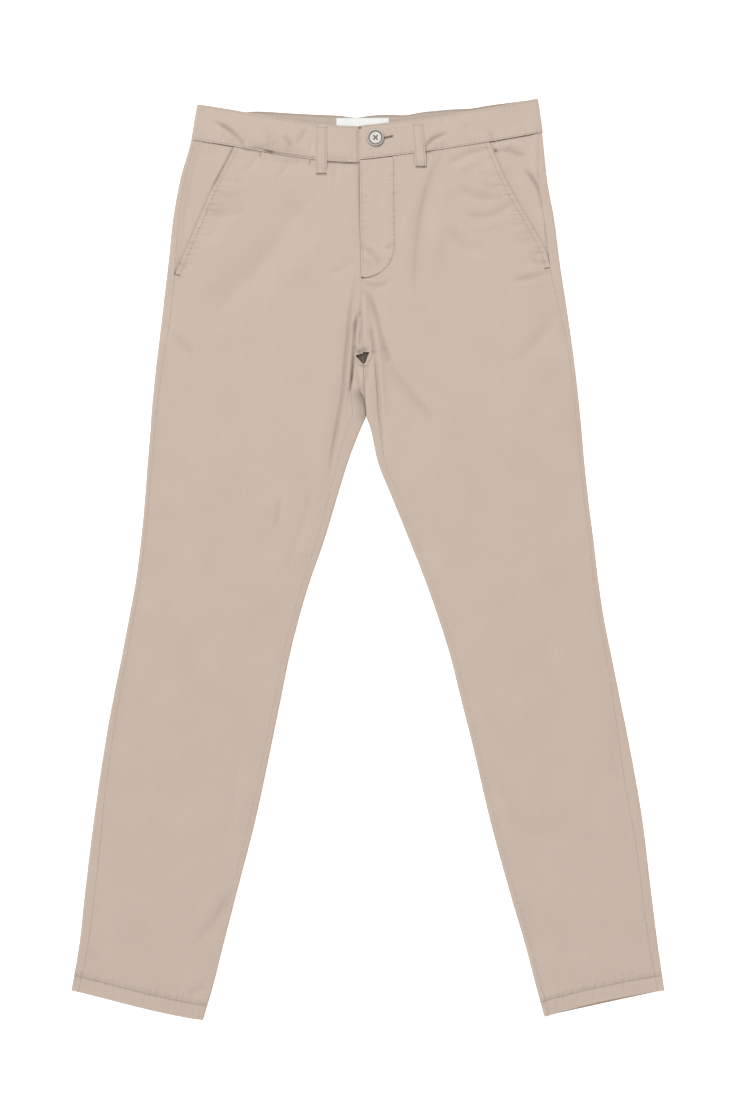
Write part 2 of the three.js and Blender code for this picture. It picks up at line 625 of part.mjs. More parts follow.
// A four-hole button with a rim, turned and then drilled.
const BUTTON = { x: 9, y: 495, radius: 10, thickness: 3.2, rim: 1.8, dish: 0.9, hole: 0.9, holeOffset: 2.1 };
function solidOf(geometry) {
  const bare = geometry.toNonIndexed();
  bare.deleteAttribute('normal');
  bare.deleteAttribute('uv');
  const merged = mergeVertices(bare, 1e-4);
  const mesh = new wasm.Mesh({
    numProp: 3,
    vertProperties: merged.attributes.position.array,
    triVerts: new Uint32Array(merged.index.array),
  });
  return new wasm.Manifold(mesh);
}
function button() {
  const { radius, thickness, rim, dish } = BUTTON;
  const profile = [
    [0, 0],
    [radius - 1.2, 0],
    [radius, 1.0],
    [radius, thickness - 0.9],
    [radius - 0.8, thickness],
    [radius - rim, thickness],
    [radius - rim - 1.2, thickness - dish],
    [0, thickness - dish],
  ].map(([x, y]) => new THREE.Vector2(x, y));
  let body = solidOf(new THREE.LatheGeometry(profile, 32).rotateX(Math.PI / 2));
  for (const [sx, sy] of [[1, 1], [1, -1], [-1, 1], [-1, -1]]) {
    const drill = new THREE.CylinderGeometry(BUTTON.hole, BUTTON.hole, 3 * thickness, 10);
    drill.rotateX(Math.PI / 2);
    drill.translate(sx * BUTTON.holeOffset, sy * BUTTON.holeOffset, 0);
    body = body.subtract(solidOf(drill));
  }
  const { vertProperties, triVerts } = body.getMesh();
  const geometry = new THREE.BufferGeometry();
  geometry.setAttribute('position', new THREE.Float32BufferAttribute(vertProperties, 3));
  geometry.setIndex(Array.from(triVerts));
  geometry.computeVertexNormals();
  return geometry;
}

for (const name of ['right', 'left']) {
  add(`front_${name}`, frontPanel(HALVES[name]));
  add(`back_${name}`, backPanel(HALVES[name]));
  add(`pocket_facing_${name}`, pocketFacing(HALVES[name]));
  add(`waistband_${name}`, waistband(name));
}
add('fly_placket', flyPlacket());
add('belt_loop_front_right', frontLoop('right', [-54.2, 509.5], [-54.6, 451.5]));
add('belt_loop_front_left', frontLoop('left', [58.5, 512], [62.5, 460]));
add('belt_loop_back_right', strip(-130, 466, 521, LOOP_WIDTH, 0, LOOP_CLOTH));
add('belt_loop_back_centre', strip(-10, 462, 518, LOOP_WIDTH, 0, LOOP_CLOTH));
add('belt_loop_back_left', strip(112, 470, 525, LOOP_WIDTH, 0, LOOP_CLOTH));
add('label', strip(-6, 496, 519, 62, LOOP_LIFT + BAND_CLOTH + SEAM_GAP, THIN_CLOTH), LABEL_LOOK);

const fastening = new THREE.Group();
const buttonBody = new THREE.Mesh(button(), BUTTON_LOOK);
buttonBody.name = 'button';
fastening.position.set(BUTTON.x, BUTTON.y, LOOP_LIFT + BAND_LOFT + BAND_CROWN + LAY_GAP);
fastening.add(buttonBody);
trousers.add(fastening);

export default trousers;
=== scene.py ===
"""Slim chino trousers in cotton twill, laid flat on their back and seen from straight above.

Each shape is worked out in millimetres from the cut of the garment, and goes into its mesh in metres.
+Z is up, +Y runs to the waist and +X is the wearer's left. "Right" and "left" are the wearer's own.
"""

import bpy
import numpy as np
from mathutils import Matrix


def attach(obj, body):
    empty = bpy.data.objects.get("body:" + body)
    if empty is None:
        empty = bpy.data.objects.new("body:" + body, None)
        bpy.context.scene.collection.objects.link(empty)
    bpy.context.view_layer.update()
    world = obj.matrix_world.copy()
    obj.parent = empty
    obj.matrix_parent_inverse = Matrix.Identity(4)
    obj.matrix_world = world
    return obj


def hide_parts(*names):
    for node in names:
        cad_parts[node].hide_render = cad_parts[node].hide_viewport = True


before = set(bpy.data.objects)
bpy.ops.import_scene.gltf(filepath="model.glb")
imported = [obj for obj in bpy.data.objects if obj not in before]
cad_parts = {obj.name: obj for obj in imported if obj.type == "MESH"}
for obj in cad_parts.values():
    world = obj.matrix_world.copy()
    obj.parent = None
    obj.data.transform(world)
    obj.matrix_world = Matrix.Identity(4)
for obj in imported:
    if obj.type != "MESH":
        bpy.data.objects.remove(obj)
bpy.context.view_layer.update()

MM = 0.001

# Sizes that the pieces share, in millimetres
CLOTH = 1.1
BAND_CLOTH = 2.0
THIN_CLOTH = 1.0
SEAM_GAP = 0.08
LAY_GAP = 0.35
EDGE_LOFT = 4.8
CROTCH_LOFT = 3.8
LEG_LOFT = 4.8
LEAST_LOFT = 2.35
FOLD_RADIUS = 2.6
CROTCH_FOLD = 0.45  # radius of the turned edge beside the crotch
BACK_SHIFT = 0.5  # how far the inner end of the backs is moved in x above the crotch
BAND_LOFT = 6.2
BAND_CROWN = 1.5
BAND_HEIGHT = 43.0
BAND_FOLD = 3.1
LOOP_WIDTH = 13.5
LOOP_LENGTH = 56.5
LOOP_CLOTH = 1.2
LOOP_FACE = 0.55
LOOP_LIFT = 1.6
FLY_WIDTH = 41.5
FLY_CORNER = 42.0
FLY_CURVE = 2.5
FLY_END_Y = 330.0
FLY_SINK = 1.0
EDGE_SINK = 0.9
UNDERLAP = 30.0
BACK_RISE = 13.0
LEFT_WAIST_LIFT = 3.5
WAIST_Y = 466.0
HEM_Y = -542.0
HEM_DEPTH = 17.0
CROTCH_Y = 238.0
CURL_START = 228.6  # below this y the inner edges turn
CURL_DEPTH = 2.0  # how much lower they are turned in full
OPENING_Y = 243.8  # top of the opening between the fronts at the crotch
APEX_Y = 168.0
POCKET_END_Y = dict(right=336.5, left=345.5)
POCKET_BAG = 14.0
POCKET_STITCH = 5.5
FAR = 99.0

# x of the outer and inner edge of each leg at a height y
OUTLINE = [
    dict(y=-542, right_outer=-355, right_inner=-194, left_inner=208.6, left_outer=355),
    dict(y=-507, right_outer=-349, right_inner=-183.5, left_inner=199, left_outer=349),
    dict(y=-448, right_outer=-339, right_inner=-168.5, left_inner=183.5, left_outer=340.5),
    dict(y=-401, right_outer=-334, right_inner=-156.5, left_inner=169.5, left_outer=334.5),
    dict(y=-306, right_outer=-322.5, right_inner=-132, left_inner=143.5, left_outer=323),
    dict(y=-212, right_outer=-308.5, right_inner=-112, left_inner=121.5, left_outer=306.5),
    dict(y=-165, right_outer=-300, right_inner=-102.5, left_inner=109.5, left_outer=297),
    dict(y=-118, right_outer=-290.5, right_inner=-93, left_inner=98, left_outer=287.5),
    dict(y=-71, right_outer=-281.5, right_inner=-81.5, left_inner=83.5, left_outer=278),
    dict(y=-24, right_outer=-273, right_inner=-67.5, left_inner=67, left_outer=271),
    dict(y=23, right_outer=-267, right_inner=-51, left_inner=48.5, left_outer=265.5),
    dict(y=70, right_outer=-262.5, right_inner=-37, left_inner=29.5, left_outer=259.5),
    dict(y=117, right_outer=-259, right_inner=-22.5, left_inner=11, left_outer=254.5),
    dict(y=152, right_outer=-256, right_inner=-9, left_inner=3.5, left_outer=251.5),
    dict(y=168, right_outer=-255, right_inner=-2, left_inner=-2, left_outer=250),
    dict(y=211, right_outer=-251, right_inner=-4.5, left_inner=-4.5, left_outer=245.5),
    dict(y=258, right_outer=-245.5, right_inner=-6.5, left_inner=-6.5, left_outer=239.5),
    dict(y=305, right_outer=-240, right_inner=-7.5, left_inner=-7.5, left_outer=232.5),
    dict(y=352, right_outer=-234.5, right_inner=-8.5, left_inner=-8.5, left_outer=225.5),
    dict(y=399, right_outer=-229.5, right_inner=-9.3, left_inner=-9.3, left_outer=219.5),
    dict(y=446, right_outer=-221, right_inner=-9.8, left_inner=-9.8, left_outer=211),
    dict(y=493, right_outer=-208, right_inner=-10, left_inner=-10, left_outer=206),
    dict(y=522, right_outer=-203, right_inner=-10, left_inner=-10, left_outer=203),
]

# Cross-sections of a leg, by the height of their inner end. The outer end is higher by the drop.
SECTIONS = [
    dict(y=-542, right_drop=35, left_drop=31, right_bow=2, left_bow=-3, back_bow=0, crown=1.2),
    dict(y=-300, right_drop=42, left_drop=41, right_bow=0, left_bow=0, back_bow=0, crown=1.5),
    dict(y=-50, right_drop=45, left_drop=44, right_bow=0, left_bow=0, back_bow=0, crown=1.7),
    dict(y=168, right_drop=46, left_drop=40, right_bow=0, left_bow=0, back_bow=0, crown=1.8),
    dict(y=238, right_drop=40, left_drop=36, right_bow=1, left_bow=1, back_bow=0, crown=1.7),
    dict(y=350, right_drop=33, left_drop=36, right_bow=3, left_bow=3, back_bow=1, crown=1.6),
    dict(y=466, right_drop=27, left_drop=36, right_bow=4, left_bow=2.4, back_bow=2.5, crown=1.4),
]

# How far the seams and the pocket mouth lie in from the outline on the upper side
OUTSEAM = [
    dict(y=-507, right=9, left=8),
    dict(y=-442, right=11, left=10.5),
    dict(y=-360, right=12, left=11),
    dict(y=-267, right=9, left=13.5),
    dict(y=-207, right=8, left=11),
    dict(y=-105, right=6, left=6),
    dict(y=46, right=5, left=5),
    dict(y=147, right=6, left=5),
    dict(y=243, right=8, left=5.5),
    dict(y=290, right=10, left=8),
    dict(y=345, right=8.6, left=12),
    dict(y=440, right=6, left=11),
    dict(y=502, right=4.5, left=5),
]
INSEAM = [
    dict(y=-542, right=6, left=6),
    dict(y=0, right=7.5, left=6.5),
    dict(y=60, right=9, left=7.5),
    dict(y=117, right=12, left=8.6),
    dict(y=139, right=14, left=10.5),
    dict(y=168, right=16, left=14.5),
    dict(y=200, right=16.5, left=14.8),
    dict(y=220, right=14.4, left=14.2),
    dict(y=224, right=13.2, left=13.2),
    dict(y=226.6, right=6.5, left=6.5),
    dict(y=228.2, right=SEAM_GAP / 2, left=SEAM_GAP / 2),
    dict(y=229, right=SEAM_GAP / 2, left=SEAM_GAP / 2),
    dict(y=231, right=1.8, left=2.4),
    dict(y=235, right=5.6, left=4.3),
    dict(y=238.2, right=8.4, left=5.7),
    dict(y=239.2, right=7, left=6.2),
    dict(y=240.6, right=3.6, left=6.9),
    dict(y=241.8, right=0.8, left=7.4),
    dict(y=242.4, right=SEAM_GAP / 2, left=7.2),
    dict(y=243.2, right=SEAM_GAP / 2, left=3.8),
    dict(y=OPENING_Y, right=SEAM_GAP / 2, left=SEAM_GAP / 2),
    dict(y=600, right=SEAM_GAP / 2, left=SEAM_GAP / 2),
]

# Middle of the opening at the crotch, through which the inside of the backs shows, painted dark as shade
HOLLOW_AT = (-6.0, 236.0)
POCKET = [
    dict(y=336, right=8.8, left=12),
    dict(y=346, right=12.8, left=12),
    dict(y=360, right=16.8, left=13.6),
    dict(y=400, right=29, left=28),
    dict(y=460, right=43.5, left=49.5),
    dict(y=502, right=53, left=63),
]


def crease(at, width, height, path, lean=0, sharp=0, held=(0, 0), dark=0):
    """A row of the table of creases, with the plain value of each column that it leaves out."""
    return dict(at=at, width=width, height=height, path=path, lean=lean, sharp=sharp, held=held, dark=dark)


# The creases of the upper side. The columns are the name, the half-width, the height, which is negative for
# a trough, and the line.
# Optional columns: "lean" above 0 makes the side to the left of the line softer than the other; "held" is
# how much of the height is left at each end, where a crease runs into a seam; "sharp" turns the round
# section into a V; "dark" is how much shade is painted into the cloth's colour along it.
CREASES = [
    # The rise, the crotch and the inner thighs
    crease("right thigh valley", 2.9, -2.5, lean=0.3, sharp=0.8, held=(0.2, 0), dark=0.24,
           path=[(-15, 330), (-16.5, 318), (-21, 288), (-24, 260), (-26.7, 232), (-28.5, 203), (-31.5, 182),
                 (-35, 163), (-40.5, 134), (-44.5, 108), (-48, 78)]),
    crease("right thigh shoulder", 9, 0.9,
           path=[(-30, 310), (-38, 258), (-41, 203), (-48, 160), (-58, 112), (-64, 70)]),
    crease("right crotch slit, upper", 2.4, -2.6, lean=-0.2, sharp=0.8, held=(0.4, 0.3), dark=0.4,
           path=[(-9, 289), (-12.5, 283), (-14.4, 273), (-15, 260), (-16.3, 246)]),
    crease("right crotch slit, lower", 1.7, -2.8, sharp=0.8, held=(0.35, 0.5), dark=0.75,
           path=[(-16.2, 250), (-17.2, 238), (-18, 224), (-19, 212), (-20.9, 199)]),
    crease("centre front crease", 1.4, -0.9, sharp=0.4, dark=0.12,
           path=[(-9, 314), (-9.4, 290), (-9, 268), (-8, 252)]),
    crease("right crotch ridge", 3, 1.5,
           path=[(-12, 318), (-17.5, 285), (-20.5, 255), (-22.8, 225), (-25, 200), (-29, 170), (-33, 150)]),
    crease("left crotch slit", 2.1, -2.0, lean=0.3, sharp=0.6, held=(0, 0.1), dark=0.1,
           path=[(3.5, 283), (6, 262), (8.3, 240), (10, 217), (11.8, 193), (13.2, 172), (16, 145),
                 (19.4, 116)]),
    crease("left crotch notch", 2.4, -1.2, held=(0.2, 0.4), dark=0.24,
           path=[(4.2, 275), (5, 264), (6.3, 252), (7.5, 243)]),
    crease("left crotch ridge", 4, 1.4, [(7, 285), (12, 255), (15, 225), (18, 190), (22, 150)]),
    crease("rise bulge", 4.5, 1.7, [(-4, 320), (-3, 290), (-2.5, 262), (-1, 250)]),
    crease("rise left crease", 1.7, -1.6, sharp=0.6, held=(0, 0.3), dark=0.12,
           path=[(-6, 290), (-8, 268), (-9.5, 252), (-10, 243)]),
    crease("crotch rim right", 1.6, 1.7, held=(0.2, 0.5),
           path=[(-14.5, 243), (-15, 238), (-11.5, 231.5), (-5, 226.5)]),
    crease("crotch rim left", 1.8, 1.7, [(3.5, 250), (4, 243), (0.5, 234), (-3.5, 226.5)], held=(0.2, 0.5)),
    crease("crotch ear", 1.5, -0.9, [(-14.2, 254), (-13.6, 247), (-12.2, 241.5)], dark=0.25),
    crease("hollow brow", 3.4, -1.2, [(-12.5, 242), (-7, 245.5), (-1, 247)], held=(0.4, 0.4), dark=0.5),
    crease("V fold right", 1.8, -1.5, sharp=0.7, held=(0.4, 0), dark=0.12,
           path=[(-15, 230), (-12.5, 216), (-9, 202), (-7, 192)]),
    crease("V fold left", 1.8, -1.5, sharp=0.7, held=(0.4, 0), dark=0.12,
           path=[(1, 226), (-2, 212), (-5, 200), (-6.3, 188)]),
    crease("V fold middle", 2.4, 0.9, [(-7, 222), (-8, 206), (-8.5, 194)]),
    crease("seat shade", 5.5, -1.0, lean=-0.85, held=(0, 0.8), dark=0.42,
           path=[(-10.5, 205), (-9.2, 197), (-5.8, 191), (-3.8, 182), (-2.4, 169)]),
    crease("left leg lap", 1.3, -1.0, sharp=0.8, held=(0.1, 0.8), dark=0.4,
           path=[(-10.2, 204), (-9, 197), (-5.6, 191.5), (-3.6, 182), (-2.2, 170)]),
    crease("left inner thigh seam ridge", 3, 0.8, [(3, 215), (4, 192), (5, 172), (8, 150)]),
    crease("left thigh valley, upper", 3.2, -2.0, lean=-0.3, sharp=0.5, held=(0.4, 0.5), dark=0.21,
           path=[(-6, 314), (0, 312), (6, 302), (12.3, 281), (17.5, 260), (25, 235)]),
    crease("left thigh valley, lower", 5.5, -1.9, lean=-0.3, sharp=0.2, held=(0.6, 0), dark=0.08,
           path=[(21, 246), (28, 227), (36, 213), (49, 198), (60, 183), (74, 170), (92, 156)]),
    crease("left thigh shoulder", 9, 1.0, [(16, 308), (30, 270), (44, 240), (66, 214), (92, 186)]),
    # The hips and the pockets
    crease("right hip valley", 15, -2.6, lean=-0.3, dark=0.03,
           path=[(-50, 452), (-80, 412), (-112, 370), (-145, 330), (-180, 291), (-214, 256)]),
    crease("right hip ridge", 13, 1.3, [(-30, 410), (-62, 372), (-94, 333), (-130, 292), (-166, 256)]),
    crease("right hip upper shade", 10, -1.4, [(-104, 366), (-123, 345), (-150, 318)], dark=0.02),
    crease("right hip outer shade", 9, -1.2, [(-160, 425), (-177, 405), (-188, 380)], dark=0.02),
    crease("right hip outer ridge", 8, 0.9, [(-146, 412), (-163, 390), (-176, 362)]),
    crease("right outseam crease", 3.5, -1.1, [(-234, 268), (-219, 256), (-201, 235)], dark=0.05),
    crease("left loop valley", 6.5, -2.3, lean=0.35, sharp=0.3, held=(0.6, 0), dark=0.06,
           path=[(82, 466), (77, 455), (71.5, 438), (66, 418), (62.5, 398), (58.5, 364), (57, 337),
                 (56, 298)]),
    crease("left loop ridge", 8, 0.8, [(99, 462), (92, 436), (84, 400), (79, 360), (75, 325)]),
    crease("left fly ridge", 7, 0.9, [(60, 448), (52, 420), (48, 390), (44, 350), (42, 322)]),
    crease("left hip first fold", 3.6, -2.0, lean=0.3, sharp=0.5, held=(0, 0.4), dark=0.08,
           path=[(90, 461), (107, 470), (123, 477), (142, 482)]),
    crease("left hip first ridge", 4, 1.0, [(98, 455), (117, 463), (136, 470)]),
    crease("left hip second fold", 4.5, -1.7, lean=0.2, sharp=0.4, held=(0, 0.3), dark=0.06,
           path=[(103, 440), (116, 431), (130, 424), (146, 423), (156, 425)]),
    crease("left hip second ridge", 4, 0.8, [(110, 447), (128, 436), (150, 434)]),
    crease("left hip third fold", 4, -1.8, sharp=0.3, held=(0, 0.3), dark=0.06,
           path=[(112, 414), (122, 405), (136, 402), (154, 408), (172, 419)]),
    crease("left hip third ridge", 5, 0.9, [(112, 398), (134, 390), (160, 398)]),
    crease("left hip dent", 7, -1.7, [(92, 392), (108, 375), (122, 366), (144, 369)], dark=0.03),
    crease("left hip low ridge", 8, 0.8, [(88, 368), (114, 348), (148, 354)]),
    crease("left pocket fold", 3.4, -2.0, sharp=0.4, held=(0, 0.4), dark=0.12,
           path=[(166, 327), (184, 330), (198, 333), (213, 337)]),
    crease("left pocket low shade", 5, -1.0, [(178, 345), (192, 352), (206, 366)]),
    crease("left thigh arc", 7, -1.3, dark=0.03,
           path=[(162, 229), (178, 238), (196, 252), (214, 278), (222, 296)]),
    crease("right pocket drag", 4, -1.5, lean=0.3, held=(0.4, 0), dark=0.05,
           path=[(-192, 410), (-178, 404), (-160, 405), (-138, 411)]),
    crease("right pocket drag 2", 3, -0.9, [(-168, 446), (-156, 443), (-142, 446)], held=(0.4, 0), dark=0.03),
    crease("right pocket drag 3", 2.6, -0.8, held=(0.4, 0), dark=0.03,
           path=[(-176, 429), (-164, 426), (-152, 430)]),
    crease("right pocket drag 4", 3, -0.8, [(-204, 384), (-192, 380), (-178, 382)], held=(0.4, 0)),
    crease("right pocket foot", 3, -0.9, [(-222, 352), (-210, 346), (-200, 338)], held=(0.3, 0)),
    crease("right pocket foot crease", 1.8, -1.1, sharp=0.5, held=(0.5, 0), dark=0.25,
           path=[(-221, 348), (-217, 345.5), (-212, 342.5)]),
    crease("right pocket foot puff", 2.6, -1.0, held=(0.2, 0), dark=0.04,
           path=[(-213, 373), (-206, 370), (-200.5, 362), (-199, 350)]),
    crease("left pocket foot shade", 2.6, -1.3, sharp=0.3, held=(0, 0.6), dark=0.14,
           path=[(190, 352), (199, 350), (205, 348.5), (210, 348)]),
    crease("left pocket foot crease", 2.2, -1.2, sharp=0.4, held=(0, 0.5), dark=0.12,
           path=[(196, 359), (203, 361), (208, 360)]),
    crease("left pocket drag", 2.8, -1.0, [(128, 456), (142, 450), (154, 452)], held=(0, 0.4), dark=0.04),
    crease("left pocket drag 2", 2.6, -1.0, [(134, 440), (148, 437), (160, 440)], held=(0, 0.4), dark=0.04),
    crease("left pocket drag 3", 3, -0.9, [(160, 392), (174, 391), (188, 397)], held=(0, 0.4)),
    crease("left pocket drag 4", 3, -0.8, [(170, 372), (184, 371), (198, 377)], held=(0, 0.4)),
    # The waist seam and the fly
    crease("right waist roll", 3.6, -1.3, held=(0.3, 0.3), dark=0.05,
           path=[(-120, 471), (-98, 467.5), (-78, 465.5), (-64, 462)]),
    crease("right waist drag", 3, -1.0, [(-92, 466), (-99, 455), (-109, 446)], held=(0.4, 0)),
    crease("right waist drag 2", 3, -0.9, [(-130, 474), (-136, 462), (-148, 452)], held=(0.4, 0)),
    crease("right waist drag 3", 3, -0.7, [(-42, 462), (-38, 450), (-40, 438)], held=(0.4, 0)),
    crease("right rise drag", 4, -0.8, [(-14, 352), (-30, 340), (-52, 334)]),
    crease("fly end drag", 3.4, -1.7, [(-6, 326), (4, 321), (16, 321), (30, 329)], held=(0.4, 0), dark=0.06),
    crease("fly inner drag", 3, -2.1, [(-5, 366), (4, 360), (12, 351), (16, 340)], held=(0.6, 0), dark=0.12),
    crease("fly corner tick", 2.4, -1.4, [(20, 368), (25, 366.5), (30, 367.5)], held=(0, 0.6), dark=0.12),
    crease("fly lower drag", 3, -1.2, [(-6, 350), (2, 346), (8, 338)], held=(0.4, 0), dark=0.04),
    crease("fly inner drag 2", 4, -1.4, [(2, 392), (10, 380), (20, 372), (28, 372)]),
    crease("fly length shade", 6, -0.7, [(10, 455), (12, 430), (10, 400), (12, 380)]),
    crease("fly edge tick", 2, -0.7, [(-8, 438), (-2, 434), (6, 434)], held=(0.5, 0)),
    crease("fly edge tick 2", 2, -0.7, [(-8, 405), (-2, 402), (5, 403)], held=(0.5, 0)),
    # The legs and the hems
    crease("right inner knee crease", 3, -1.4, [(-103, 74), (-105, 54), (-107, 32)], dark=0.06),
    crease("right inner thigh line", 5, -0.7, [(-62, 96), (-70, 60), (-82, 20), (-96, -20)]),
    crease("left inner thigh line", 6, -0.7, [(40, 96), (52, 60), (70, 20), (88, -24)]),
    crease("right calf line", 9, -0.9, [(-146, -190), (-152, -240), (-160, -300), (-170, -350)]),
    crease("right ankle valley", 7, -1.8, lean=0.3, dark=0.03,
           path=[(-157, -380), (-166, -402), (-176, -421), (-192, -440), (-208, -458)]),
    crease("right ankle ridge", 7, 0.7, [(-172, -384), (-184, -406), (-200, -424)]),
    crease("right outer hem crease", 3.5, -1.3, held=(0.2, 0), dark=0.04,
           path=[(-332, -461), (-320, -471), (-306, -481)]),
    crease("right hem dent", 5, -1.4, [(-190, -498), (-200, -507), (-214, -511)], held=(0.3, 0), dark=0.05),
    crease("left calf valley", 8, -1.9, lean=0.3, dark=0.02,
           path=[(140, -236), (155, -257), (167, -280), (187, -316), (214, -330), (244, -330)]),
    crease("left ankle valley", 6, -1.6, [(180, -396), (190, -424), (201, -450), (212, -472)], dark=0.02),
    crease("left ankle cross", 5, -1.0, [(214, -470), (240, -462), (262, -466)]),
    crease("left outer calf line", 10, -0.8, [(290, -150), (296, -210), (300, -280), (306, -350)]),
    crease("right outer calf line", 10, -0.8, [(-262, -60), (-276, -130), (-290, -200), (-296, -280)]),
    # The waistband
    crease("band right crease", 2.4, -2.4, lean=0.25, sharp=1, held=(0, 0.8), dark=0.3,
           path=[(-184, 516), (-172, 510), (-162, 504), (-154, 497), (-147, 488)]),
    crease("band right crease ridge", 4, 1.2, [(-180, 508), (-166, 500), (-155, 489)], held=(0, 0.5)),
    crease("band right small crease", 2.6, -2.2, sharp=0.5, held=(0, 0.4), dark=0.12,
           path=[(-101, 498), (-95, 493), (-90.5, 486), (-90.5, 479)]),
    crease("band right small crease 3", 3.2, -1.6, held=(0, 0.3), dark=0.07,
           path=[(-71, 507), (-77, 496), (-82.5, 488)]),
    crease("band right small crease 4", 4.5, -1.8, held=(0, 0.4), dark=0.06,
           path=[(-118, 500), (-111, 491), (-104, 483)]),
    crease("band right seam line", 1.2, -0.9, held=(0.3, 0.5), dark=0.5,
           path=[(-150, 485.3), (-137, 484), (-125, 482.3), (-115, 479), (-93, 475.9), (-75, 473),
                 (-61, 472)]),
    crease("band right seam spot", 2, -0.8, held=(0.4, 0.4), dark=0.5,
           path=[(-120, 480.6), (-115, 479.2), (-110, 478.2)]),
    crease("band right stand line", 1.1, -0.6, held=(0.8, 0.5), dark=0.2,
           path=[(-47, 472), (-30, 471.2), (-14, 470.4)]),
    crease("band right small crease 2", 2.5, -0.9, [(-112, 503), (-106, 494), (-104, 484)], held=(0, 0.4)),
    crease("band right dimple", 4, -1.0, [(-126, 508), (-116, 500), (-112, 490)]),
    crease("band right roll", 4, -1.9, held=(0.3, 0.3), dark=0.09,
           path=[(-140, 487), (-118, 483), (-96, 479), (-72, 475)]),
    crease("band right loop shade", 3, -0.9, [(-68, 502), (-66, 488), (-66, 476)]),
    crease("band right length shade", 5, -0.6, [(-44, 500), (-34, 488), (-28, 474)]),
    crease("band end shade", 3, -0.4, [(-16, 498), (-15, 482), (-14, 468)]),
    crease("band left crease", 2.2, -2.3, lean=0.2, sharp=0.9, held=(0.6, 0), dark=0.3,
           path=[(67, 480), (70, 487), (76, 493), (85, 497.5), (97, 502)]),
    crease("band left crease ridge", 3.5, 1.0, [(75, 482), (82, 489), (94, 494)], held=(0.4, 0)),
    crease("band left small crease", 2.3, -1.4, sharp=0.4, held=(0.2, 0.5), dark=0.06,
           path=[(141, 503), (146, 497), (150, 489)]),
    crease("band left dimple", 5, -0.9, [(112, 512), (122, 504), (136, 500)]),
    crease("band left end shade", 5, -0.7, [(176, 528), (182, 516), (190, 508)]),
    # The pocket facings and the marks along the waist seam
    crease("left facing puff", 4.5, 1.6, [(152, 482), (164, 487), (176, 488), (188, 484)]),
    crease("left facing shade", 2.8, -1.8, sharp=0.5, held=(0.4, 0), dark=0.2,
           path=[(149, 478), (158, 480.5), (168, 480), (180, 476), (190, 478)]),
    crease("left facing fold", 2.4, -2.1, lean=-0.3, sharp=0.7, held=(0, 0.6), dark=0.3,
           path=[(182, 464), (188, 456), (197, 443), (203, 430), (206.5, 416)]),
    crease("left facing outseam", 1.4, -0.6, held=(0.8, 0.2), dark=0.22,
           path=[(206.5, 418), (208.3, 400), (209.5, 380), (210.5, 362)]),
    crease("left facing fold ridge", 3.5, 1.0, [(188, 468), (196, 456), (203, 444)]),
    crease("left facing dent", 5, -0.9, [(162, 462), (172, 452), (180, 440)]),
    crease("right facing shade", 1.8, -0.9, sharp=0.6, held=(0.7, 0), dark=0.3,
           path=[(-158.8, 482), (-165.3, 469), (-172, 456), (-178.8, 443), (-186, 428)]),
    crease("right waist seam shadow", 1.2, -0.6, held=(0.3, 0.6), dark=0.3,
           path=[(-150, 482.8), (-138, 480.4), (-126, 478)]),
    crease("right waist seam shadow 2", 1.2, -0.6, held=(0.8, 0.8), dark=0.6,
           path=[(-47, 466.6), (-30, 465.6), (-11, 465)]),
    crease("right waist step", 1.3, -0.6, held=(0.8, 0.3), dark=0.45,
           path=[(-126, 477.5), (-126, 475), (-126.3, 472)]),
    crease("right waist step 2", 1.3, -0.6, held=(0.8, 0.3), dark=0.45,
           path=[(-68, 468.5), (-68.2, 466), (-68.5, 463)]),
    crease("left pocket pin hole", 1.7, -1.2, held=(0.8, 0.8), dark=0.95,
           path=[(149.5, 481.8), (150.5, 480.8), (151.2, 479.8)]),
    crease("left loop seam shade", 1.8, -0.8, held=(0.8, 0.2), dark=0.4,
           path=[(66.5, 477), (70, 478.2), (76, 479)]),
    crease("right facing fold", 4, -0.9, [(-206, 404), (-201, 396), (-196, 392)]),
    crease("right facing waist shade", 4, -0.8, [(-200, 478), (-186, 476), (-170, 473)]),
]

# Long shallow waves of cloth that has been folded and smoothed out again
UNDULATIONS = [
    dict(wavelength=88, angle=18, phase=0.4, height=0.16),
    dict(wavelength=61, angle=71, phase=2.1, height=0.12),
    dict(wavelength=47, angle=-38, phase=4.4, height=0.09),
    dict(wavelength=33, angle=112, phase=1.2, height=0.06),
    dict(wavelength=142, angle=-64, phase=3.3, height=0.22),
]


def mix(a, b, t):
    return a + (b - a) * t


def ramp(x, low, high):
    """Smooth step from 0 at low to 1 at high."""
    t = np.clip((np.asarray(x, float) - low) / (high - low), 0, 1)
    return t * t * (3 - 2 * t)


def curve(rows, name):
    """Monotone cubic through one column of a table. The tangent at a row is the harmonic mean of the
    slopes on its two sides, and 0 where one rises and the other falls."""
    y = np.array([row["y"] for row in rows], float)
    v = np.array([row[name] for row in rows], float)
    slope = np.diff(v) / np.diff(y)
    before, after = slope[:-1], slope[1:]
    same = before * after > 0
    inside = np.where(same, 2 * before * after / np.where(same, before + after, 1), 0)
    tangent = np.concatenate([slope[:1], inside, slope[-1:]])

    def at(x):
        x = np.asarray(x, float)
        i = np.clip(np.searchsorted(y, x) - 1, 0, len(y) - 2)
        h = y[i + 1] - y[i]
        t = np.clip((x - y[i]) / h, 0, 1)
        rise = (1 + 2 * t) * (1 - t) ** 2 * v[i] + t * t * (3 - 2 * t) * v[i + 1]
        return rise + h * t * (1 - t) * ((1 - t) * tangent[i] - t * tangent[i + 1])

    return at


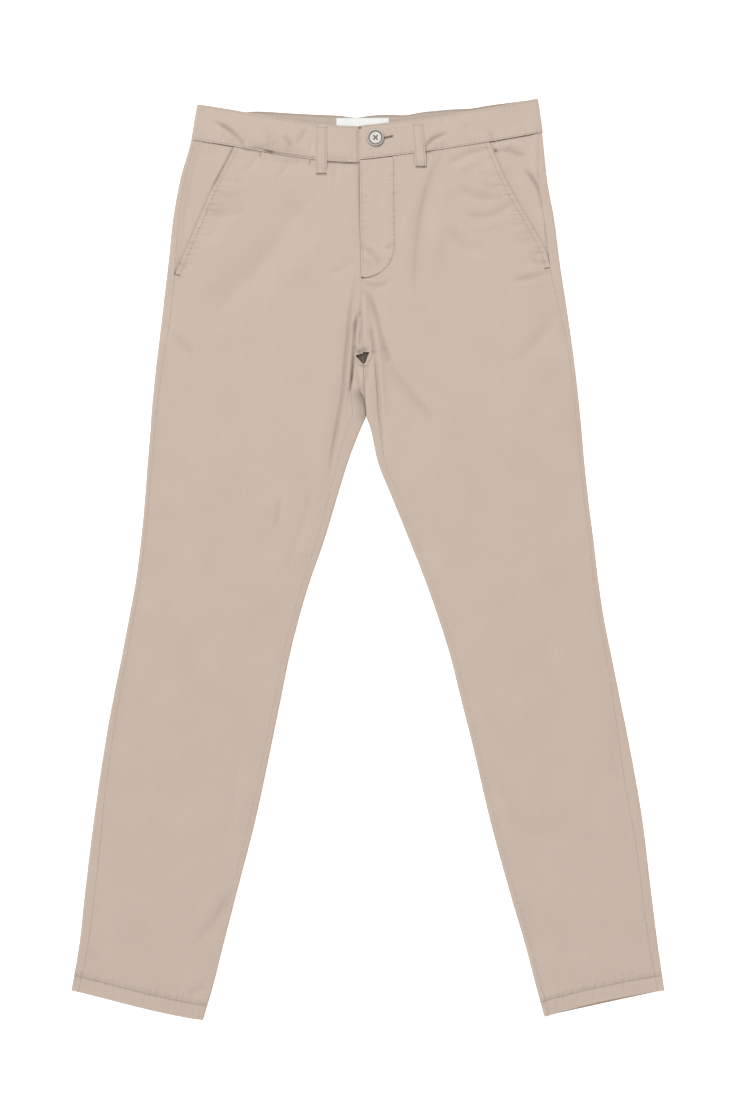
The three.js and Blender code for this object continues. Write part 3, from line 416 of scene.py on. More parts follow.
def smooth_path(points, steps=6):
    """Catmull-Rom curve through the points, each span cut into a few steps."""
    p = np.array(points, float)
    p = np.vstack([2 * p[0] - p[1], p, 2 * p[-1] - p[-2]])
    t = np.linspace(0, 1, steps, endpoint=False)[:, None]
    spans = []
    for a, b, c, d in zip(p[:-3], p[1:-2], p[2:-1], p[3:]):
        spans.append(
            0.5 * (2 * b + (c - a) * t + (2 * a - 5 * b + 4 * c - d) * t**2 + (3 * b - a - 3 * c + d) * t**3)
        )
    return np.vstack(spans + [p[-2:-1]])


def nearest_on(path, x, y):
    """Signed distance from each point to a line of short straight steps, positive on the line's left,
    and the share of the line's length at which the nearest point lies."""
    steps = np.hypot(*np.diff(path, axis=0).T)
    total = steps.sum()
    best = np.full(x.shape, 1e9)
    signed, along = np.zeros(x.shape), np.zeros(x.shape)
    done = 0.0
    for (ax, ay), (bx, by), length in zip(path[:-1], path[1:], steps):
        dx, dy = (bx - ax) / length, (by - ay) / length
        s = np.clip((x - ax) * dx + (y - ay) * dy, 0, length)
        ox, oy = x - ax - dx * s, y - ay - dy * s
        gap = np.hypot(ox, oy)
        closer = gap < best
        best = np.where(closer, gap, best)
        signed = np.where(closer, gap * np.where(dx * oy - dy * ox < 0, -1, 1), signed)
        along = np.where(closer, (done + s) / total, along)
        done += length
    return signed, along


def tucks(line, every, length, width, height, side):
    """Short troughs from a line of sewing to one side of it, as the pull of the thread makes them. Their
    steps, lengths and heights vary by sines of their number."""
    path = smooth_path(line)
    steps = np.hypot(*np.diff(path, axis=0).T)
    reach = np.concatenate([[0], np.cumsum(steps)])
    rows = []
    for number in range(int(reach[-1] / every)):
        at = (number + 0.5 + 0.3 * np.sin(5.1 * number)) * every
        x, y = (np.interp(at, reach, path[:, n]) for n in (0, 1))
        ahead = [np.interp(at + 2, reach, path[:, n]) - np.interp(at - 2, reach, path[:, n]) for n in (0, 1)]
        along = np.array(ahead) / np.hypot(*ahead)
        out = side * np.array([-along[1], along[0]])
        slant = 0.35 * np.sin(2.9 * number) * along
        size = length * (0.55 + 0.45 * np.sin(3.7 * number) ** 2)
        ends = [np.array([x, y]) + (out + slant) * size * share for share in (0.05, 0.5, 1)]
        depth = height * (0.4 + 0.6 * np.sin(2.3 * number + 1) ** 2)
        rows.append(crease("tuck", width, depth, ends, held=(0.6, 0)))
    return rows


CREASES += tucks([(-153, 480), (-174, 440), (-196, 391), (-218, 342)], 7.5, 13, 1.7, -0.55, 1)
CREASES += tucks([(139, 484), (154, 452), (168, 421), (188, 388), (203, 358)], 7.5, 14, 1.7, -0.6, -1)
CREASES += tucks([(-7, 455), (-6, 345)], 8, 9, 1.7, -1.0, 1)
CREASES += tucks([(31, 458), (31.5, 372)], 9, 6, 1.7, -0.4, -1)
CREASES += tucks([(31, 454), (31.5, 368)], 11, 6, 1.7, -0.35, 1)
CREASES += tucks([(-196, 490), (-142, 479), (-68, 468), (-14, 463)], 11, 10, 2, -0.5, -1)
CREASES += tucks([(-2, 463), (60, 470), (130, 483), (196, 496)], 11, 9, 2, -0.45, -1)
CREASES += tucks([(-340, -489), (-272, -507), (-192, -525)], 6.5, 10, 1.8, -0.8, 1)
CREASES += tucks([(210, -524), (262, -504), (344, -489)], 6.5, 10, 1.8, -0.8, 1)
CREASES += tucks([(-196, 496), (-142, 487), (-68, 475), (-14, 469)], 7, 11, 1.8, -0.75, 1)
CREASES += tucks([(-2, 470), (60, 477), (130, 489), (196, 503)], 8, 9, 1.8, -0.55, 1)
CREASES += tucks([(-190, 530), (-120, 521), (-60, 511), (-14, 506)], 13, 10, 2.4, -0.5, -1)
CREASES += tucks([(40, 514), (100, 522), (190, 536)], 13, 10, 2.4, -0.45, -1)


def relief(x, y):
    """Height and shade of the creases at each point. Each crease is a bell across its line, V-shaped where
    it is sharp and wider on one side by its lean, that dies away over the last third towards each end and
    swells unevenly between them. Its shade is a narrower bell."""
    x, y = np.broadcast_arrays(np.asarray(x, float), np.asarray(y, float))
    total, shade = np.zeros(x.shape), np.zeros(x.shape)
    for wave in UNDULATIONS:
        angle = np.radians(wave["angle"])
        across = x * np.cos(angle) + y * np.sin(angle)
        total += wave["height"] * np.sin(2 * np.pi * across / wave["wavelength"] + wave["phase"])
    for number, fold in enumerate(CREASES):
        path = smooth_path(fold["path"])
        lean, sharp = fold["lean"], fold["sharp"]
        reach = 3 * fold["width"] * (1 + abs(lean))
        low, high = path.min(0) - reach, path.max(0) + reach
        near = (x > low[0]) & (x < high[0]) & (y > low[1]) & (y < high[1])
        if not near.any():
            continue
        signed, along = nearest_on(path, x[near], y[near])
        away = np.abs(signed) / (fold["width"] * (1 + lean * np.sign(signed)))
        section = mix(np.exp(-(away**2)), np.exp(-1.6 * (np.sqrt(away**2 + 0.03) - 0.173)), sharp)
        first, last = fold["held"]
        taper = mix(first, 1, ramp(along, 0, 0.33)) * mix(last, 1, ramp(1 - along, 0, 0.33))
        uneven = 1 + 0.18 * np.sin(8.5 * along + 2.7 * number)
        total[near] += fold["height"] * taper * uneven * section
        shade[near] += fold["dark"] * taper * uneven * np.exp(-((1.2 * away) ** 2))
    return total, np.minimum(shade, 0.95)


class Half:
    """The wearer's right or left half of the garment, with its columns of the tables as curves."""

    def __init__(self, name, outward, hem_lift, waist_lift, sag):
        self.name, self.outward, self.hem_lift = name, outward, hem_lift
        self.waist_lift, self.sag = waist_lift, sag
        self.outer = curve(OUTLINE, name + "_outer")
        leg = curve([row for row in OUTLINE if row["y"] <= APEX_Y], name + "_inner")
        centre = curve([row for row in OUTLINE if row["y"] >= APEX_Y], name + "_inner")
        self.inner = lambda y: np.where(np.asarray(y) < APEX_Y, leg(y), centre(y))
        self.drop = curve(SECTIONS, name + "_drop")
        self.bow = curve(SECTIONS, name + "_bow")
        self.outseam = curve(OUTSEAM, name)
        self.inseam = curve(INSEAM, name)
        self.pocket = curve(POCKET, name)
        self.pocket_end = POCKET_END_Y[name]

    def mouth(self, outer_y):
        """How far in the front panel starts: at the pocket mouth, or at the outseam below it."""
        seam = self.outseam(outer_y)
        return np.where(outer_y > self.pocket_end, np.maximum(seam, self.pocket(outer_y)), seam)

    def pocket_end_row(self):
        return self.pocket_end - self.drop(self.pocket_end - 35)


RIGHT = Half("right", -1, 0.0, 0.0, 2)
LEFT = Half("left", 1, 4.0, LEFT_WAIST_LIFT, 1)
crown_at = curve(SECTIONS, "crown")
back_bow_at = curve(SECTIONS, "back_bow")


def bowed(a, sag):
    """Share of its bow that a line has at a: 1 at half-way for a sag of 1, nearer the centre for more."""
    return a**sag * (1 - a) * (sag + 1) ** (sag + 1) / sag**sag


def floor_lift(y):
    """The hidden back loops lift the waist off the floor."""
    return LOOP_LIFT * ramp(y, 405, 450)


def fly_sink(inside):
    """How deep the left front dips under the fly, at a distance inside the fly's curved edge."""
    return FLY_SINK * ramp(inside, 0.5, 3.5)


def fly_reach(y):
    """Width of the fly at a height: full down to its corner, then a squarish quarter curve."""
    down = np.clip((FLY_END_Y + FLY_CORNER - np.asarray(y, float)) / FLY_CORNER, 0, 1)
    return FLY_WIDTH * (1 - down**FLY_CURVE) ** (1 / FLY_CURVE)


class Sections:
    """Cross-sections of one half, a line from the outer edge to the inner one for each row."""

    def __init__(self, half, rows):
        row = np.asarray(rows, float)[:, None]
        self.half, self.row = half, row
        y = row + half.hem_lift * ramp(-row, 300, -HEM_Y)
        back_y = y + BACK_RISE * ramp(row, 300, WAIST_Y)
        apart = np.where(row >= APEX_Y, SEAM_GAP / 2 * half.outward, 0)
        self.outer_y = y + half.drop(row)
        self.start = (half.outer(self.outer_y), self.outer_y)
        front_y = y + half.waist_lift * ramp(row, 380, WAIST_Y)
        self.end = (half.inner(front_y) + apart, front_y)
        self.back_end = (half.inner(back_y) + apart + BACK_SHIFT * ramp(row, 245, 255), back_y)
        self.width = np.hypot(self.end[0] - self.start[0], self.end[1] - self.start[1])

    def line(self, end, bow, sag, q):
        a = q / self.width
        x = mix(self.start[0], end[0], a)
        return x, mix(self.start[1], end[1], a) - bow * bowed(a, sag)

    def front(self, q):
        return self.line(self.end, self.half.bow(self.row), self.half.sag, q)

    def back(self, q):
        return self.line(self.back_end, back_bow_at(self.row), 1, q)

    def loft(self, q):
        """Thickness of the folded leg, q in from its outer edge: low at the edges and crowned between,
        with the creases, the turned-up hem and the sunk edges of the fly."""
        x, y = self.front(q)
        a = np.clip(q / self.width, 0, 1)
        closed = ramp(-self.row, -CROTCH_Y, -APEX_Y)
        inner = mix(CROTCH_LOFT, LEG_LOFT, ramp(np.abs(self.row - CROTCH_Y), 10, 110))
        rise = np.sin(np.minimum(a / 0.35, 1) * np.pi / 2)
        fall = np.sin(np.minimum((1 - a) / 0.3, 1) * np.pi / 2)
        swell = crown_at(self.row) * rise * (1 - closed * (1 - fall))
        height = mix(EDGE_LOFT, inner, a) + swell + relief(x, y)[0] * self.freedom(q)
        return np.maximum(height, LEAST_LOFT) + self.hem(x)

    def freedom(self, q):
        """Creases fade at the folded outer edge, which holds itself flat."""
        return ramp(q, -1, 12)

    def hem(self, x):
        """The hem is thicker by its turned-up cloth, nipped in along its stitching, and wavy."""
        above = self.row - HEM_Y
        turned = 0.55 * (1 - ramp(above, HEM_DEPTH - 1.5, HEM_DEPTH + 1.5))
        nipped = -0.5 * np.exp(-(((above - HEM_DEPTH) / 1.6) ** 2))
        wave = 0.5 * np.sin(x / 2.9 + 1.3 * np.sin(x / 17)) + 0.5 * np.sin(x / 7.1 + 0.8)
        return turned + nipped + 0.16 * wave * np.exp(-(((above - HEM_DEPTH) / 6.5) ** 2))

    def top(self, q):
        return floor_lift(self.front(q)[1]) + self.loft(q)


RIM = np.array([0, 0.1, 0.25, 0.5, 0.9, 1.5])


def between(start, end, count, power=1.0):
    """Positions from start to end, with a few crowded at each edge so that it can be rounded, and the
    rest closer together towards the end as the power grows."""
    t = 1 - (1 - np.linspace(0, 1, count)) ** power
    middle = (start + 2.3) + (end - start - 4.6) * t
    return np.concatenate([start + RIM, middle, end - RIM[::-1]], axis=-1)


def panel_rows():
    """Heights of the sections: close together at the crotch, the waist and the hem."""
    spans = [(463.4, 300, 84), (300, 255, 26), (255, 245, 8), (245, 224, 44), (224, 165, 38), (165, 60, 36),
             (60, -505, 126), (-505, -539.6, 18)]
    parts = [np.linspace(a, b, n, endpoint=False) for a, b, n in spans]
    return np.concatenate([WAIST_Y - RIM] + parts + [HEM_Y + RIM[::-1]])


ROWS = panel_rows()


def grid(x, y, z):
    return np.stack(np.broadcast_arrays(x, y, z), axis=-1)


def lowered(points, drop):
    """The same grid, lower by a drop."""
    return points - np.array([0, 0, 1.0]) * np.asarray(drop, float)[..., None]


def border_distance(points):
    """Length along the grid lines from each point to the nearest of the four borders."""
    reach = np.full(points.shape[:2], 1e9)
    for axis in (0, 1):
        steps = np.linalg.norm(np.diff(points, axis=axis), axis=2)
        zero = np.zeros_like(np.take(steps, [0], axis=axis))
        from_first = np.concatenate([zero, np.cumsum(steps, axis=axis)], axis=axis)
        total = np.take(from_first, [-1], axis=axis)
        reach = np.minimum(reach, np.minimum(from_first, total - from_first))
    return reach


def new_piece(name, points, faces, look, marks=None):
    """Puts points in millimetres and faces into a smooth mesh object at the origin."""
    mesh = bpy.data.meshes.new(name)
    mesh.from_pydata(points * MM, [], faces)
    for mark, values in (marks or {}).items():
        mesh.attributes.new(mark, "FLOAT", "POINT").data.foreach_set("value", values.astype("f4"))
    mesh.shade_smooth()
    mesh.materials.append(look)
    mesh.update()
    piece = bpy.data.objects.new(name, mesh)
    bpy.context.collection.objects.link(piece)
    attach(piece, "root")
    return piece


def quads(ids):
    """Faces of a grid of point numbers."""
    return np.stack([ids[:-1, :-1], ids[:-1, 1:], ids[1:, 1:], ids[1:, :-1]], axis=-1).reshape(-1, 4)


MARKS = ("slash", "seam", "hem", "waist", "edge", "shade")


def shell(name, outer, inner, look, rim=0.6, hold=0.5, **marks):
    """A closed cloth wall between two grids. Towards each border both faces draw together along a
    quarter circle and they share the border's points, so that every edge of the cloth is round. They
    meet half-way at a free edge, and nearer to the outer face at a seam, as the hold says."""
    meet = np.broadcast_to(hold, outer.shape[:2])[..., None]
    middle = inner + (outer - inner) * meet
    away = border_distance(middle)
    round_off = np.sqrt(1 - (1 - np.clip(away / rim, 0, 1)) ** 2)[..., None]
    outer = middle + (outer - middle) * round_off
    inner = middle + (inner - middle) * round_off
    rows, columns = away.shape
    front = np.arange(rows * columns).reshape(rows, columns)
    back = front.copy()
    count = (rows - 2) * (columns - 2)
    back[1:-1, 1:-1] = rows * columns + np.arange(count).reshape(rows - 2, columns - 2)
    points = np.concatenate([outer.reshape(-1, 3), inner[1:-1, 1:-1].reshape(-1, 3)])
    faces = np.concatenate([quads(front), quads(back)[:, ::-1]])
    a, b, c, d = (points[faces[:, n]] for n in range(4))
    if np.einsum("ij,ij->i", np.cross(c - a, d - b), a + b + c + d).sum() < 0:
        faces = faces[:, ::-1]
    fields = {}
    for mark in MARKS:
        given = marks.get(mark, 0 if mark == "shade" else FAR)
        upper, under = given if isinstance(given, tuple) else (given, given)
        upper, under = np.broadcast_to(upper, away.shape), np.broadcast_to(under, away.shape)
        fields[mark] = np.concatenate([upper.ravel(), under[1:-1, 1:-1].ravel()])
    return new_piece(name, points, faces, look, fields)


def seam_hold(row):
    """A hem is a free edge, and every other border of a panel is a seam."""
    return np.where(np.asarray(row) < HEM_Y + 2.5, 0.5, 0.86)


def panel_marks(cut, q, start, end):
    """Distances that the weave's puckers and grooves are drawn from, and the shade painted into the creases.
    """
    above = cut.row - HEM_Y - HEM_DEPTH + 0 * q
    from_stitches = q - cut.half.mouth(cut.outer_y) - POCKET_STITCH
    sewn = np.where(cut.outer_y > cut.half.pocket_end - 4, from_stitches, FAR)
    shade = relief(*cut.front(q))[1] * cut.freedom(q)
    return dict(hem=above, slash=sewn, seam=np.minimum(q - start, end - q), waist=WAIST_Y - cut.row + 0 * q,
                shade=shade, hold=seam_hold(cut.row))


def front_panel(half, look):
    """Front of a leg, from the pocket mouth or the outseam to the centre front or the inseam."""
    cut = Sections(half, ROWS)
    start = half.mouth(cut.outer_y) + SEAM_GAP
    end = cut.width - np.where(cut.row > OPENING_Y, 0, half.inseam(cut.row) + SEAM_GAP / 2)
    q = between(start, end, 106, 1.35)
    x, y = cut.front(q)
    z = cut.top(q)
    above_end = ramp(cut.row, FLY_END_Y - 4, FLY_END_Y + 3)
    if half is LEFT:
        inside = np.where(cut.row > FLY_END_Y, half.inner(y) + fly_reach(cut.row) - x, 0)
        z = z - fly_sink(inside)
    else:
        z = z - EDGE_SINK * mix(0.35, 1, ramp(cut.row, 345, 420)) * above_end * ramp(q - end, -5, 0)
    outer = grid(x, y, z)
    marks = panel_marks(cut, q, start, end)
    if half is RIGHT:
        # Painted shadow along the right front's edge under the fly, deeper towards the waist
        depth = mix(0.04, 0.45, ramp(cut.row, 360, 440)) * above_end
        marks["shade"] = np.maximum(marks["shade"], depth * ramp(q - end, -1.8, -0.5))
    return shell("front_" + half.name, outer, lowered(outer, CLOTH + 0 * z), look, 0.5, **marks)


def back_panel(half, look):
    """Back of a leg. It starts at the outseam on the upper side, turns under at the outer edge, lies on
    the floor, and ends at the centre back, or below the crotch turns up again to the inseam."""
    cut = Sections(half, ROWS)
    seam = half.outseam(cut.outer_y)
    outer, inner, marks, shades, hidden = [], [], [], [], []

    def put(place, q, z, q_inner, z_inner, mark, shaded=False):
        x, y = place(q)
        shades.append(relief(x, y)[1] * shaded if np.any(shaded) else 0 * q)
        # Painted shade: the inner faces near the crotch opening are darkened as the inside of the legs
        hidden.append(0.95 * ramp(-np.hypot(x - HOLLOW_AT[0], y - HOLLOW_AT[1]), -20, -15))
        x_inner, y_inner = place(q_inner)
        outer.append(grid(x, y, z + floor_lift(y)))
        inner.append(grid(x_inner, y_inner, z_inner + floor_lift(y)))
        marks.append(np.broadcast_to(mark, q.shape))

    shares = np.concatenate([[0, 0.03, 0.08, 0.16], np.linspace(0.28, 1, 7)[:-1]])
    top_q = seam + (FOLD_RADIUS - seam) * shares
    put(cut.front, top_q, cut.loft(top_q), top_q, cut.loft(top_q) - CLOTH, seam - top_q)
    angle = np.linspace(np.pi, 0, 15)[None, :]
    height = cut.loft(np.full_like(cut.row, FOLD_RADIUS)) / 2
    reach, tight = FOLD_RADIUS * np.sin(angle), (FOLD_RADIUS - CLOTH) * np.sin(angle)
    bent = height * (1 - np.cos(angle)), height - (height - CLOTH) * np.cos(angle)
    upper = angle[0] > np.pi / 2
    for part, place in ((upper, cut.front), (~upper, cut.back)):
        put(place, FOLD_RADIUS - reach[:, part] + 0 * cut.row, bent[0][:, part],
            FOLD_RADIUS - tight[:, part] + 0 * cut.row, bent[1][:, part], FAR)

    turn = np.clip((CURL_START - cut.row) / CURL_DEPTH, 0, 1)
    share = np.maximum(turn, 0.02)
    fold = mix(FOLD_RADIUS, CROTCH_FOLD, ramp(cut.row, 183, 206))
    own_loft = cut.loft(cut.width - fold)
    loft = mix(CROTCH_LOFT, own_loft, ramp(turn, 0.5, 1)) / share
    radius = fold / share
    run = mix(0.8, np.maximum(half.inseam(cut.row) - fold, 0.4), ramp(turn, 0.3, 1))
    full = np.pi * turn
    strip = radius * np.sin(full) + run * np.cos(full)
    begin = cut.width - np.where(turn > 0.5, radius, strip)
    under_q = FOLD_RADIUS + (begin - FOLD_RADIUS) * np.linspace(0, 1, 29)[None, 1:]
    put(cut.back, under_q, 0 * under_q, under_q, CLOTH + 0 * under_q, FAR)
    arc = full * np.linspace(0, 1, 15)[None, 1:]
    z_arc = loft / 2 * (1 - np.cos(arc)), loft / 2 - (loft / 2 - CLOTH) * np.cos(arc)
    put(cut.back, begin + radius * np.sin(arc), z_arc[0],
        begin + np.maximum(radius - CLOTH, 0.1) * np.sin(arc), z_arc[1], FAR, arc > 1.0)
    length = run * np.concatenate([np.linspace(0.08, 0.92, 11), [0.97, 1]])[None, :]
    q = begin + radius * np.sin(full) + length * np.cos(full)
    z = loft / 2 * (1 - np.cos(full)) + length * np.sin(full)
    ceiling = np.where(turn > 0.55, cut.loft(q), 1e9)
    z = np.where(turn >= 1, cut.loft(q), np.minimum(z, ceiling))
    put(cut.back, q, z, q - CLOTH * np.sin(full), z + CLOTH * np.cos(full), run - length, True)
    outer, inner = np.concatenate(outer, axis=1), np.concatenate(inner, axis=1)
    above = np.broadcast_to(cut.row - HEM_Y - HEM_DEPTH, outer.shape[:2])
    shade = np.concatenate(shades, axis=1), np.concatenate(hidden, axis=1)
    return shell("back_" + half.name, outer, inner, look, 0.5, seam_hold(cut.row), hem=above,
                 seam=np.concatenate(marks, axis=1), shade=shade)


def pocket_facing(half, look):
    """The piece that shows in the slanted pocket, from the outseam to just behind the pocket mouth."""
    length = WAIST_Y - 0.3 - (half.pocket_end - 33)
    rows = WAIST_Y - 0.3 - np.concatenate([RIM, np.linspace(2.5, length - 2.5, 70), length - RIM[::-1]])
    cut = Sections(half, rows)
    seam, mouth = half.outseam(cut.outer_y) + SEAM_GAP, half.mouth(cut.outer_y)
    q = between(seam, mouth + POCKET_BAG, 42)
    x, y = cut.front(q)
    narrow = ramp(seam - mouth, -4.5, -1.5)
    slope = ramp(q - seam, 0, np.clip(0.85 * (mouth - seam), 2, 10))
    tucked = (CLOTH + LAY_GAP) * np.maximum(narrow, slope) + 0.6 * ramp(q - mouth, -3, 6)
    z = np.maximum(cut.top(q) - tucked, floor_lift(y) + CLOTH + LAY_GAP + THIN_CLOTH)
    outer = grid(x, y, z)
    # Painted shade on the facing just inside the pocket mouth, under the front's edge
    under = 0.14 * ramp(q - mouth, -4, 0)
    return shell("pocket_facing_" + half.name, outer, lowered(outer, THIN_CLOTH + 0 * z), look, 0.4, 0.86,
                 seam=q - seam, shade=relief(x, y)[1] + under)


# Ends of the waistband's lower and upper edges: at the side, at the centre front, and the bow between
BAND_ENDS = {
    "right": dict(seam=(-208, 493), top=(-201, 535), centre=(WAIST_Y, 509.0), bow=(4, 4), sag=2),
    "left": dict(seam=(206, 502), top=(200, 542), centre=(WAIST_Y + LEFT_WAIST_LIFT, 509.5), bow=(2.4, 3),
                 sag=1),
}
CENTRE_X = -10.0
BACK_CENTRE = (479.0, 479.0 + BAND_HEIGHT)


class BandSections:
    """Lines along one half of the waistband, one for each height v from 0 at the seam to 1 at the top."""

    def __init__(self, name, v):
        self.name, self.v = name, np.asarray(v, float)[:, None]
        ends = BAND_ENDS[name]
        self.start = [mix(ends["seam"][n], ends["top"][n], self.v) for n in (0, 1)]
        self.bow = mix(*ends["bow"], self.v)
        self.centre, self.sag = ends["centre"], ends["sag"]
        self.width = np.abs(CENTRE_X - self.start[0])

    def line(self, centre, bow, sag, q):
        a = q / self.width
        y = mix(self.start[1], mix(*centre, self.v), a)
        return mix(self.start[0], CENTRE_X, a), y - bow * bowed(a, sag)

    def front(self, q):
        """Past the centre front the right end keeps to the line of the left one."""
        x, y = self.line(self.centre, self.bow, self.sag, np.minimum(q, self.width))
        past = q - self.width
        if self.name == "left" or not (past > 0).any():
            return self.line(self.centre, self.bow, self.sag, q)
        other = BandSections("left", self.v[:, 0])
        x_past, y_past = other.front(other.width - past)
        return np.where(past > 0, x_past, x), np.where(past > 0, y_past, y)

    def back(self, q):
        x, y = self.line(BACK_CENTRE, 2.5, 1, q)
        return x, y + back_wave(x) * self.v

    def top(self, q):
        x, y = self.front(q)
        rise = np.sin(np.minimum(q / self.width / 0.35, 1) * np.pi / 2)
        creases = relief(x, y)[0] * ramp(q, 0, 10) * np.where(q < self.width, 1, 0)
        creases = creases * mix(0.35, 1, ramp(self.v, 1, 0.75))
        return LOOP_LIFT + BAND_LOFT + BAND_CROWN * rise + creases


def line_inside(piece):
    """Gives the inner face of a shell the reverse side of the cloth, darker as painted shade for the band's
    inside.
    """
    piece.data.materials.append(REVERSE)
    count = len(piece.data.polygons)
    numbers = np.zeros(count, "i4")
    numbers[count // 2:] = 1
    piece.data.polygons.foreach_set("material_index", numbers)


def back_wave(x):
    """The hidden top edge of the back band dips a little in four places."""
    dips = [(-15, 13, 2.0), (44, 15, 2.2), (-152, 17, 3.0), (122, 16, 1.4)]
    return -sum(depth * np.exp(-(((x - at) / width) ** 2)) for at, width, depth in dips)


def end_thins(beyond):
    """How much thinner the left end of the waistband gets towards its edge, where it laps the right."""
    return 1.0 * ramp(beyond, -9, -1)


def waistband(name, look):
    """One half of the waistband, from the centre front round the side to the centre back. The right
    half dips under the left one at the front and runs on as the button stand."""
    bottom = SEAM_GAP / BAND_HEIGHT
    v = bottom + (1 - bottom) * np.concatenate(
        [RIM / BAND_HEIGHT, np.linspace(2.4, 40.6, 26) / BAND_HEIGHT, 1 - RIM[::-1] / BAND_HEIGHT]
    )
    cut = BandSections(name, v)
    right = name == "right"
    outer, inner = [], []
    first = UNDERLAP if right else -SEAM_GAP
    past = np.concatenate([first - RIM, np.linspace(first - 2.4, -19, 34 if right else 12)])[None, :]
    inward = np.concatenate([cut.width + past, cut.width - 19
                             - (cut.width - 19 - BAND_FOLD) * np.linspace(0, 1, 126)[None, 1:-1]], axis=1)
    beyond = inward - cut.width
    tuck = (BAND_CLOTH + LAY_GAP) * ramp(beyond, -4.5, -0.7) if right else end_thins(beyond)
    x, y = cut.front(inward)
    z = cut.top(inward) - tuck
    wall = np.where(beyond > -7, 1.8, BAND_CLOTH) if right else BAND_CLOTH - tuck
    outer.append(grid(x, y, z))
    inner.append(grid(x, y, z - wall))
    shades = [relief(x, y)[1] * np.where(beyond < 0, 1, 0)]
    angle = np.linspace(np.pi, 0, 17)[None, :]
    half_loft = (cut.top(np.full_like(cut.width, BAND_FOLD)) - LOOP_LIFT) / 2
    for part, place in ((angle[0] > np.pi / 2, cut.front), (angle[0] <= np.pi / 2, cut.back)):
        bend = angle[:, part]
        x, y = place(BAND_FOLD - BAND_FOLD * np.sin(bend) + 0 * cut.width)
        outer.append(grid(x, y, LOOP_LIFT + half_loft * (1 - np.cos(bend))))
        x, y = place(BAND_FOLD - (BAND_FOLD - BAND_CLOTH) * np.sin(bend) + 0 * cut.width)
        inner.append(grid(x, y, LOOP_LIFT + half_loft - (half_loft - BAND_CLOTH) * np.cos(bend)))
    last = cut.width - SEAM_GAP / 2
    q = BAND_FOLD + (last - 2.4 - BAND_FOLD) * np.linspace(0, 1, 70)[None, 1:]
    q = np.concatenate([q, last - RIM[::-1][None, :]], axis=1)
    x, y = cut.back(q)
    outer.append(grid(x, y, LOOP_LIFT + 0 * q))
    inner.append(grid(x, y, LOOP_LIFT + BAND_CLOTH + 0 * q))
    outer, inner = np.concatenate(outer, axis=1), np.concatenate(inner, axis=1)
    height = np.broadcast_to(cut.v * BAND_HEIGHT, outer.shape[:2])
    rest = np.zeros((len(v), outer.shape[1] - shades[0].shape[1]))
    piece = shell("waistband_" + name, outer, inner, look, 0.9, mix(0.72, 0.5, ramp(cut.v, 0.3, 0.7)),
                  waist=height - 1.8, edge=BAND_HEIGHT - height - 1.8,
                  shade=np.concatenate([shades[0], rest], axis=1))
    line_inside(piece)
    return piece


def fly_placket(look):
    """The topstitched fly. It lies in the sunk part of the left front, and its curved edge thins out."""
    middle = np.linspace(462.8, FLY_END_Y + 3, 84)
    rows = np.concatenate([WAIST_Y - 0.8 - RIM, middle, FLY_END_Y + 0.6 + RIM[::-1]])
    cut = Sections(LEFT, rows)
    q = cut.width - SEAM_GAP - between(0 * cut.width, fly_reach(cut.row) + 0.5 + 0 * cut.width, 24)
    x, y = cut.front(q)
    reach = cut.half.inner(y) + fly_reach(cut.row) - x
    top = cut.top(q)
    inner = grid(x, y, top - fly_sink(reach) + 0.04)
    outer = grid(x, y, top + 0.08 + 0.3 * ramp(reach, -0.5, 4))
    return shell("fly_placket", outer, inner, look, 0.3, 0.8, shade=relief(x, y)[1], slash=reach - 1.1)


class LoopStrip:
    """A front belt loop: a strip from the top of the waistband down on to the panel."""

    def __init__(self, half, top, bottom):
        self.half, self.top, self.bottom = half, top, bottom

    def at(self, along, across):
        """Point on the loop's underside, along and across it, both from 0 to 1."""
        along, across = np.broadcast_arrays(along, across)
        y = mix(self.top[1], self.bottom[1], along)
        x = mix(self.top[0], self.bottom[0], along) + (across - 0.5) * LOOP_WIDTH
        q = np.abs(self.half.outer(y) - x)
        band = BandSections(self.half.name, [0.5])
        ends = Sections(self.half, np.minimum(y[:, 0], WAIST_Y))
        panel = ends.top(q)
        return x, y, mix(panel, band.top(q[:1]), ramp(y, 456, 468)) + 0.06

    def piece(self, name, look):
        down = np.concatenate([RIM, np.linspace(2.5, 54, 40), LOOP_LENGTH - RIM[::-1]])
        over = np.concatenate([RIM, np.linspace(2.2, 11.3, 9), LOOP_WIDTH - RIM[::-1]])
        along, across = down[:, None] / LOOP_LENGTH, over[None, :] / LOOP_WIDTH
        x, y, z = self.at(along, across)
        puff = 0.2 * np.sin(np.pi * across) * (1 + 0.5 * np.sin(11 * along))
        ends = 0.5 * ramp(along, 0.93, 0.95) - 0.45 * np.exp(-(((along - 0.925) / 0.014) ** 2))
        inner = grid(x, y, z)
        edges = np.minimum(across, 1 - across) * LOOP_WIDTH - 1.9
        return shell(name, grid(x, y, z + LOOP_FACE + puff + ends), inner, look, 0.7, 0.2, edge=edges)


def flat_strip(name, x, bottom, top, width, z, cloth, look):
    """A flat strip of cloth between two heights."""
    y = np.concatenate([bottom + RIM, np.linspace(bottom + 2.4, top - 2.4, 16), top - RIM[::-1]])[:, None]
    across = np.concatenate([RIM, np.linspace(2.2, width - 2.2, max(8, int(width / 3))), width - RIM[::-1]])
    inner = grid(x - width / 2 + across[None, :], y, z)
    return shell(name, lowered(inner, np.full(inner.shape[:2], -cloth)), inner, look, 0.5)


# Sewing: each stitch is a small capsule, and the stitches of a line are one mesh
STITCH_SIDES = 6
STITCH_RINGS = np.array([-1.0, -0.82, -0.3, 0.3, 0.82, 1.0])
STITCH_GIRTH = np.array([0.05, 0.7, 1.0, 1.0, 0.7, 0.05])


def path_points(x, y, z):
    return np.stack([np.ravel(x), np.ravel(y), np.ravel(z)], axis=1)


